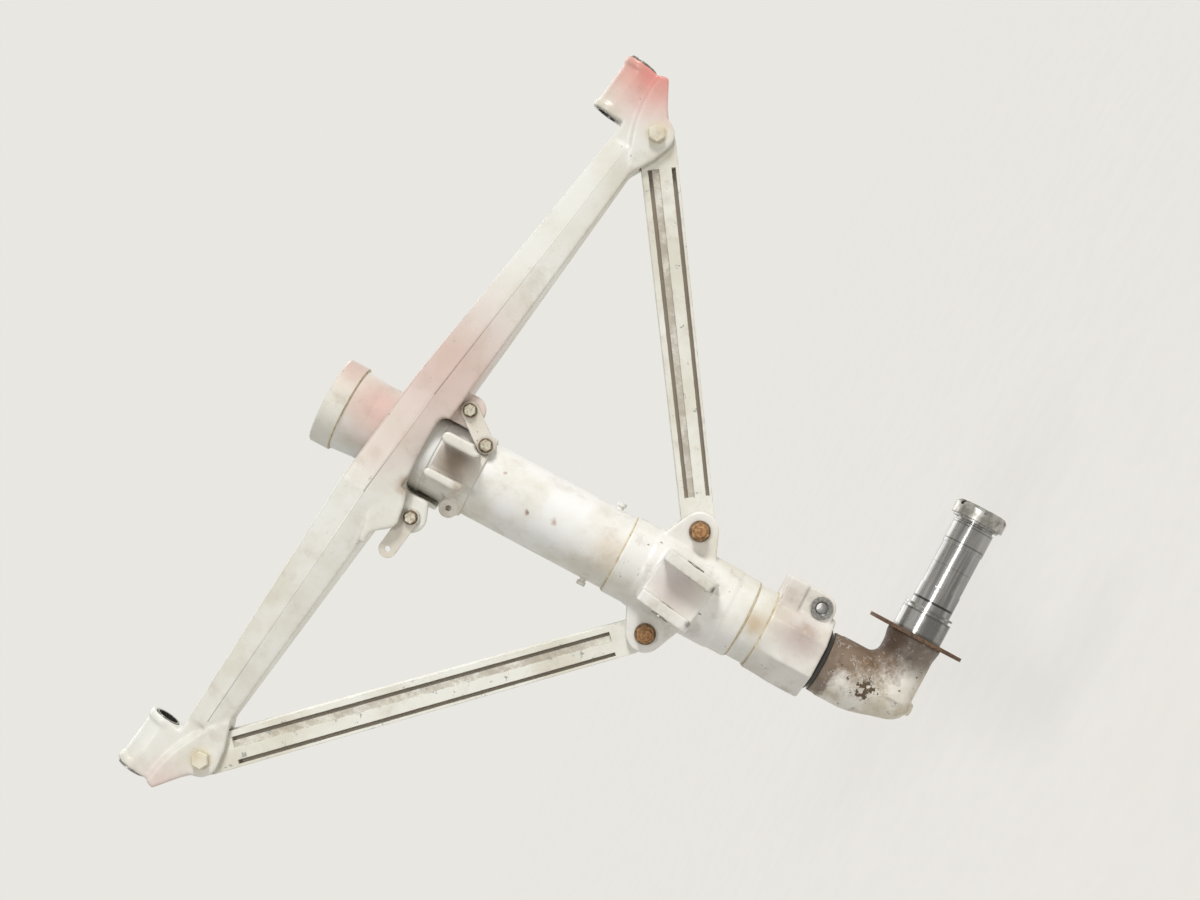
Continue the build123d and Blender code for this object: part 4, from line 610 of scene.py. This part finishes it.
def barrel_enamel(paint):
    """Enamel on the steel barrel, the whitest and least chipped."""
    spots = (
        # Overspray on the neck
        Spot(point(14, -30, 5), 50, "cba79d", 0.85),
        # Yellow film at mid height and above the knee collar
        Spot(point(0, -35, -232), 30, "cfbfa6", 0.6),
        Spot(point(2, -35, -372), 18, "b8a283", 0.8),
        # Three small knocks
        Spot(point(-6, -35, -151), 3.4, "7b5a45", 0.9),
        Spot(point(-1, -35, -176), 4.2, "a98a7a", 0.8),
        Spot(point(16, -31, -118), 3, "a07c66", 0.8),
    )
    return enamel(
        "enamel on steel barrel", "e2e1dd", paint.aged, spots, stains=0.28, chips=0.71, bare="5a4634"
    )


def cap_enamel(paint):
    """Enamel on the top cap, with faint overspray on its forward side."""
    overspray = Spot(point(38, -20, 42), 45, paint.faded, 0.6)
    return enamel("enamel on alloy cap", "dad7cc", paint.aged, (overspray,), stains=0.4)


def brace_enamel():
    """Enamel on the extruded braces, worn in wide chips to grey alloy, with dirt in the grooves and painted
    shade along the steps beside them.
    """
    return enamel(
        "enamel on extruded brace", "dfded4", "cfcbbb", stains=0.3, chip_mm=9.0, chips=0.635, bare="9c9b97",
        groove_mm=8.0,
    )


def strap_enamel():
    """Thin enamel on the straps, rubbed dark under the screws' washers."""
    screws = (FORWARD_TAB_SCREW, AFT_TAB_SCREW, POST_SCREW)
    spots = [Spot(screw, 9.8, "55463a", 0.95, SIDE_ON) for screw in screws]
    return enamel("thin enamel on strap", "d8d3c8", "bcb29f", spots, stains=0.4, chips=0.66)


def plated_bushing():
    """Dull plated steel of the bushings and small fittings, with painted shade that makes the knee pin's bore
    nearly black.
    """
    # Painted shade: the knee pin's empty bore is coloured nearly black
    painted_bore_shade = Spot(KNEE_PIN, 8.5, "100e0c", 1.0, SIDE_ON)
    return worked_metal("plated steel bushing", "a9a8a4", "7c7a75", 0.3, 2.0, spots=(painted_bore_shade,))


def ground_axle():
    """Steel axle ground round and round, with light and dark streaks along its length that are partly burnish
    and partly a painted reflection, and fine dark rings.
    """
    rings = (
        # Beside the flange, at the shoulder's end and on the inner seat
        Band("X", 60.3, 62.5, "55504b", 0.5),
        Band("X", 79.0, 80.6, "56534f", 0.6),
        Band("X", 90.5, 92.5, "2f2c2a", 0.85),
        # On the plain middle and near the outer seat's two ends
        Band("X", 126.2, 126.8, "4a4846", 0.5),
        Band("X", 149.2, 150.5, "4a4846", 0.6),
        Band("X", 165.5, 166.8, "4a4846", 0.5),
    )
    # Painted reflection and burnish: the marks are stretched along the axle into light and dark streaks
    return worked_metal(
        "ground steel axle", "a9a8a6", "737271", 0.18, 9.0, (0.06, 1, 1), rings, dirt=0.22, soil="5d5146"
    )


def chromed_piston():
    """Hard chrome, nearly a mirror, with a painted dark reflection on the stretch that shows under the
    barrel.
    """
    # Painted reflection: a nearly black band on the chrome below the knee collar stands in for dark
    # surroundings mirrored in it
    painted_dark_reflection = Band("Z", -452.0, -436.5, "2a2521", 0.92)
    return worked_metal(
        "hard chrome piston", "d2d3d4", "c8c9ca", 0.07, 9.0, bands=(painted_dark_reflection,), dirt=0.04, haze=0.05
    )


# Settings


class LegPaintSettings(bpy.types.PropertyGroup):
    """Colours of the paint, as sRGB hex values"""

    paint: bpy.props.StringProperty(name="Paint", description="Clean enamel", default="dbdad2")
    aged: bpy.props.StringProperty(name="Aged paint", description="Yellowed enamel", default="cecabc")
    overspray: bpy.props.StringProperty(name="Overspray", description="Red overspray", default="d2594c")
    faded: bpy.props.StringProperty(name="Faded overspray", description="Faint overspray", default="bd9388")


class LegShapeSettings(bpy.types.PropertyGroup):
    """Sizes of the added shapes"""

    arm_voxel: bpy.props.FloatProperty(
        name="Arm rounding", description="Cell size of the cross arm's skin", default=1.05 * MM, unit="LENGTH"
    )
    collar_voxel: bpy.props.FloatProperty(
        name="Collar rounding",
        description="Cell size of the collars' skins",
        default=1.05 * MM,
        unit="LENGTH",
    )
    fine_voxel: bpy.props.FloatProperty(
        name="Fine rounding",
        description="Cell size of the elbow's and saddle's skins",
        default=0.85 * MM,
        unit="LENGTH",
    )
    bead: bpy.props.FloatProperty(
        name="Sealant bead", description="Radius of the sealant beads", default=0.9 * MM, unit="LENGTH"
    )
    parting_line: bpy.props.FloatProperty(
        name="Parting line",
        description="Radius of the forging's parting line",
        default=0.5 * MM,
        unit="LENGTH",
    )
    thread_pitch: bpy.props.FloatProperty(
        name="Thread pitch", description="Pitch of the bolts' thread", default=1.06 * MM, unit="LENGTH"
    )


class LegStageSettings(bpy.types.PropertyGroup):
    """Camera and light"""

    distance: bpy.props.FloatProperty(
        name="Camera distance", description="From the camera to the strut", default=1.772, unit="LENGTH"
    )
    roll: bpy.props.FloatProperty(
        name="Camera roll",
        description="Turn of the camera about its own view",
        default=math.radians(61.9),
        subtype="ANGLE",
    )
    floor_drop: bpy.props.FloatProperty(
        name="Floor", description="Height of the floor", default=-0.8, unit="LENGTH"
    )
    key: bpy.props.FloatProperty(name="Key light", description="Strength of the main lamp", default=2.38)
    sky: bpy.props.FloatProperty(name="Sky", description="Strength of the light from all round", default=0.35)


# Operators


class LEG_OT_castings(bpy.types.Operator):
    """Rounds the castings and gives them their paint"""

    bl_idname = "leg.castings"
    bl_label = "Castings"

    def execute(self, context):
        paint = context.scene.leg_paint
        sizes = context.scene.leg_sizes
        coarse = sizes.collar_voxel
        fine = sizes.fine_voxel
        arm = arm_enamel(paint)
        cast_skin("arm_forging", "cross_arm", "leg", sizes.arm_voxel, ARM_PASSES, arm, ARM_KEPT)
        collar = collar_enamel(paint)
        cast_skin("collar_casting", "brace_collar", "leg", coarse, COLLAR_PASSES, collar)
        cast_skin("knee_casting", "knee_collar", "leg", coarse, COLLAR_PASSES, knee_enamel())
        cast_skin("saddle_casting", "uplock_saddle", "leg", fine, COLLAR_PASSES, saddle_enamel(paint))
        cast_skin("elbow_casting", "axle_elbow", "piston", fine, ELBOW_PASSES, corroded_elbow())
        return {"FINISHED"}


class LEG_OT_finishes(bpy.types.Operator):
    """Gives every other CAD node its material"""

    bl_idname = "leg.finishes"
    bl_label = "Finishes"

    def execute(self, context):
        self.paint_nodes(context.scene.leg_paint)
        self.plate_nodes()
        self.finish_running_gear()
        return {"FINISHED"}

    def paint_nodes(self, paint):
        """Painted pieces that aren't cast"""
        finish_nodes(barrel_enamel(paint), "barrel_tube", "side_plugs")
        finish_nodes(cap_enamel(paint), "top_cap")
        finish_nodes(brace_enamel(), "forward_brace", "aft_brace")
        finish_nodes(enamel("enamel on steel bolt", "d9d3c0", "bfa878", stains=0.5), "tip_bolts")
        finish_nodes(strap_enamel(), "forward_strap", "aft_strap")

    def plate_nodes(self):
        """Bushings, fittings and fasteners"""
        finish_nodes(
            plated_bushing(), "trunnion_bushings", "brace_bushings", "side_clevis_bushings", "knee_bushings",
            "filler_valve", "retaining_ring", "piston_head_ring", "metering_pin", "axle_washer",
        )
        cadmium = worked_metal("dull cadmium plate", "cfcabb", "a8a08c", 0.34, 2.5, dirt=0.45, soil="77603f")
        finish_nodes(cadmium, "strap_screws", "strap_nuts", "tip_nuts")
        washers = rusted("brown stain on steel washer", "8d7557", "574331")
        finish_nodes(washers, "strap_washers", "brace_washers")
        nuts = rusted("orange rust on steel nut", "b48a5a", "80542f", "d9c8a8")
        finish_nodes(nuts, "ear_nuts", "ear_bolts")
        finish_nodes(worked_metal("dull brass", "b99a56", "8f7338", 0.35, 2.0), "valve_cap")

    def finish_running_gear(self):
        """Axle, piston and what fits inside the strut"""
        finish_nodes(ground_axle(), "wheel_axle", "grease_ring")
        finish_nodes(worked_metal("dull plated nut", "b9b7b1", "8d8b86", 0.3, 7.0, dirt=0.3), "axle_nut")
        finish_nodes(rusted("brown rust on steel flange", "6d513a", "3f2e21", "7b634a"), "brake_flange")
        finish_nodes(chromed_piston(), "piston_tube")
        machined = worked_metal("machined aluminium", "c9c9c7", "aeaeab", 0.3, 2.0)
        finish_nodes(machined, "orifice_tube", "lower_bearing", "piston_plug")
        bronze = worked_metal("aluminium bronze", "b98d4c", "92692f", 0.3, 2.0)
        finish_nodes(bronze, "orifice_plate", "upper_bearing")
        rubber = plain_solid("black nitrile rubber", "161514", "2a2724", 0.62, 4.0)
        finish_nodes(rubber, "piston_seal", "static_seal", "scraper_ring")


class LEG_OT_sealant(bpy.types.Operator):
    """Lays beads of yellowed sealant round the collars' ends"""

    bl_idname = "leg.sealant"
    bl_label = "Sealant beads"

    def execute(self, context):
        radius = context.scene.leg_sizes.bead
        sealant = plain_solid("yellowed polysulphide sealant", "cfc3a4", "b09d78", 0.55, 6.0)
        for name, z, out in (
            ("collar_top_bead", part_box("brace_collar")[1].z, BARREL_BEAD_OUT),
            ("collar_foot_bead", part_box("brace_collar")[0].z, BARREL_BEAD_OUT),
            ("knee_top_bead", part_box("knee_collar")[1].z, BARREL_BEAD_OUT),
            ("cap_foot_bead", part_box("top_cap")[0].z + CAP_FOOT_RISE, CAP_BEAD_OUT),
        ):
            bm = bmesh.new()
            bead(bm, z, out, radius)
            piece_from(bm, name, "leg", sealant)
        return {"FINISHED"}


class LEG_OT_parting_lines(bpy.types.Operator):
    """Raises the forging's parting line along the front and back of the cross arm"""

    bl_idname = "leg.parting_lines"
    bl_label = "Parting lines"

    def execute(self, context):
        radius = context.scene.leg_sizes.parting_line
        bm = bmesh.new()
        for side, hub_out in ((-1, HUB_FRONT_OUT), (1, HUB_BACK_OUT)):
            stations = (
                trunnion_point(AFT_TIP_ALONG, TIP_LEVEL, side * AFT_TIP_OUT),
                trunnion_point(-HUB_HALF, HUB_LEVEL, side * hub_out),
                trunnion_point(HUB_HALF, HUB_LEVEL, side * hub_out),
                trunnion_point(FORWARD_TIP_ALONG, TIP_LEVEL, side * FORWARD_TIP_OUT),
            )
            for start, end in zip(stations, stations[1:]):
                way = end - start
                turned = way.to_track_quat("Z", "Y").to_matrix().to_4x4()
                bmesh.ops.create_cone(
                    bm,
                    cap_ends=True,
                    segments=8,
                    radius1=radius,
                    radius2=radius,
                    depth=way.length,
                    matrix=Matrix.Translation((start + end) / 2) @ turned,
                )
        material = parting_line_enamel(context.scene.leg_paint)
        piece_from(bm, "arm_parting_line", "leg", material)
        return {"FINISHED"}


class LEG_OT_threads(bpy.types.Operator):
    """Cuts the thread that shows past the brace bolts' nuts and beside the axle nut"""

    bl_idname = "leg.threads"
    bl_label = "Threads"

    def execute(self, context):
        pitch = context.scene.leg_sizes.thread_pitch
        materials = bpy.data.materials
        bm = bmesh.new()
        nut_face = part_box("ear_nuts")[0].y
        length = nut_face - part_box("ear_bolts")[0].y - pitch
        for bolt in (FORWARD_EAR_BOLT, AFT_EAR_BOLT):
            thread(bm, (bolt.x, nut_face, bolt.z), (0, -1, 0), BOLT_THREAD_RADIUS, length, pitch)
        rust = materials["orange rust on steel nut"]
        piece_from(bm, "ear_bolt_threads", "leg", rust)
        bm = bmesh.new()
        nut_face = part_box("tip_nuts")[1].y
        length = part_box("tip_bolts")[1].y - nut_face - pitch * 0.8
        for bolt in (FORWARD_BOLT, AFT_BOLT):
            thread(bm, (bolt.x, nut_face, bolt.z), (0, 1, 0), BOLT_THREAD_RADIUS, length, pitch)
        cadmium = materials["dull cadmium plate"]
        piece_from(bm, "tip_bolt_threads", "leg", cadmium)
        bm = bmesh.new()
        thread(bm, AXLE_THREAD_START, (1, 0, 0), AXLE_THREAD_RADIUS, AXLE_THREAD_LENGTH, AXLE_THREAD_PITCH)
        piece_from(bm, "axle_thread", "piston", materials["ground steel axle"])
        return {"FINISHED"}


class LEG_OT_stage(bpy.types.Operator):
    """Sets the floor, the lamps and the camera"""

    bl_idname = "leg.stage"
    bl_label = "Stage"

    def execute(self, context):
        scene = context.scene
        self.make_sky(scene)
        self.make_floor(scene)
        for name, share, width, way in LAMPS:
            lamp = bpy.data.lights.new(name, "SUN")
            lamp.energy = scene.leg_stage.key * share
            lamp.angle = math.radians(width)
            holder = bpy.data.objects.new(name, lamp)
            holder.rotation_euler = Vector(way).to_track_quat("-Z", "Y").to_euler()
            scene.collection.objects.link(holder)
        self.make_camera(scene)
        scene.view_settings.view_transform = "Standard"
        return {"FINISHED"}

    def make_sky(self, scene):
        """Even light from all round, and a pale backdrop for the camera and for reflections"""
        world = bpy.data.worlds.new("Pale studio")
        scene.world = world
        world.use_nodes = True
        tree = world.node_tree
        tree.nodes.clear()
        rays = add(tree, "ShaderNodeLightPath").outputs
        inputs = {0: rays["Is Glossy Ray"], 1: rays["Is Transmission Ray"]}
        mirrored = add(tree, "ShaderNodeMath", inputs, operation="MAXIMUM").outputs[0]
        inputs = {0: rays["Is Camera Ray"], 1: mirrored}
        seen = add(tree, "ShaderNodeMath", inputs, operation="MAXIMUM").outputs[0]
        inputs = {"Color": linear("f4f5f7"), "Strength": scene.leg_stage.sky}
        light = add(tree, "ShaderNodeBackground", inputs).outputs[0]
        inputs = {"Color": linear("e9e7e2"), "Strength": 1.0}
        backdrop = add(tree, "ShaderNodeBackground", inputs).outputs[0]
        both = add(tree, "ShaderNodeMixShader", {0: seen, 1: light, 2: backdrop})
        add(tree, "ShaderNodeOutputWorld", {"Surface": both.outputs[0]})

    def make_floor(self, scene):
        """Floor of pale matte paper, below the axle when the strut is fully extended"""
        bm = bmesh.new()
        bmesh.ops.create_grid(bm, x_segments=1, y_segments=1, size=FLOOR_HALF)
        bmesh.ops.translate(bm, verts=bm.verts, vec=(0, 0, scene.leg_stage.floor_drop))
        mesh = bpy.data.meshes.new("studio_floor")
        bm.to_mesh(mesh)
        bm.free()
        floor = bpy.data.objects.new("studio_floor", mesh)
        scene.collection.objects.link(floor)
        material, tree, place = blank("pale studio paper")
        mottled = cloud(tree, place, grain_mm=60, low=0.3, high=0.7)
        colour = coat(tree, linear("f2efe9"), "f0ede7", mottled)
        inputs = {"Base Color": colour, "Roughness": 0.95, "Specular IOR Level": 0.0}
        shader = add(tree, "ShaderNodeBsdfPrincipled", inputs)
        add(tree, "ShaderNodeOutputMaterial", {"Surface": shader.outputs[0]})
        mesh.materials.append(material)

    def make_camera(self, scene):
        """Camera that looks at the leg's side, rolled to the photograph's view"""
        distance = scene.leg_stage.distance
        roll = scene.leg_stage.roll
        camera = bpy.data.cameras.new("Camera")
        camera.lens = LENS_MM
        camera.sensor_width = SENSOR_MM
        holder = bpy.data.objects.new("Camera", camera)
        scene.collection.objects.link(holder)
        right = Vector((math.cos(roll), 0, -math.sin(roll)))
        up = Vector((math.sin(roll), 0, math.cos(roll)))
        turned = Matrix((right, up, Vector((0, -1, 0)))).transposed().to_4x4()
        holder.matrix_world = Matrix.Translation((AIM.x, -distance, AIM.z)) @ turned
        scene.camera = holder


class LEG_PT_panel(bpy.types.Panel):
    """Lists the leg's settings and steps"""

    bl_idname = "LEG_PT_panel"
    bl_label = "Landing gear leg"
    bl_space_type = "VIEW_3D"
    bl_region_type = "UI"
    bl_category = "Landing gear"

    def draw(self, context):
        for settings in (context.scene.leg_paint, context.scene.leg_sizes, context.scene.leg_stage):
            box = self.layout.box()
            for key in settings.bl_rna.properties.keys():
                if key not in ("rna_type", "name"):
                    box.prop(settings, key)
        for step in STEPS:
            self.layout.operator(step.bl_idname)


STEPS = (LEG_OT_castings, LEG_OT_finishes, LEG_OT_sealant, LEG_OT_parting_lines, LEG_OT_threads, LEG_OT_stage)
CLASSES = (LegPaintSettings, LegShapeSettings, LegStageSettings, *STEPS, LEG_PT_panel)


def register():
    for cls in CLASSES:
        bpy.utils.register_class(cls)
    bpy.types.Scene.leg_paint = bpy.props.PointerProperty(type=LegPaintSettings)
    bpy.types.Scene.leg_sizes = bpy.props.PointerProperty(type=LegShapeSettings)
    bpy.types.Scene.leg_stage = bpy.props.PointerProperty(type=LegStageSettings)


def unregister():
    del bpy.types.Scene.leg_stage
    del bpy.types.Scene.leg_sizes
    del bpy.types.Scene.leg_paint
    for cls in reversed(CLASSES):
        bpy.utils.unregister_class(cls)


def main():
    register()
    bpy.ops.leg.castings()
    bpy.ops.leg.finishes()
    bpy.ops.leg.sealant()
    bpy.ops.leg.parting_lines()
    bpy.ops.leg.threads()
    bpy.ops.leg.stage()
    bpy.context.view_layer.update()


if __name__ == "__main__":
    main()
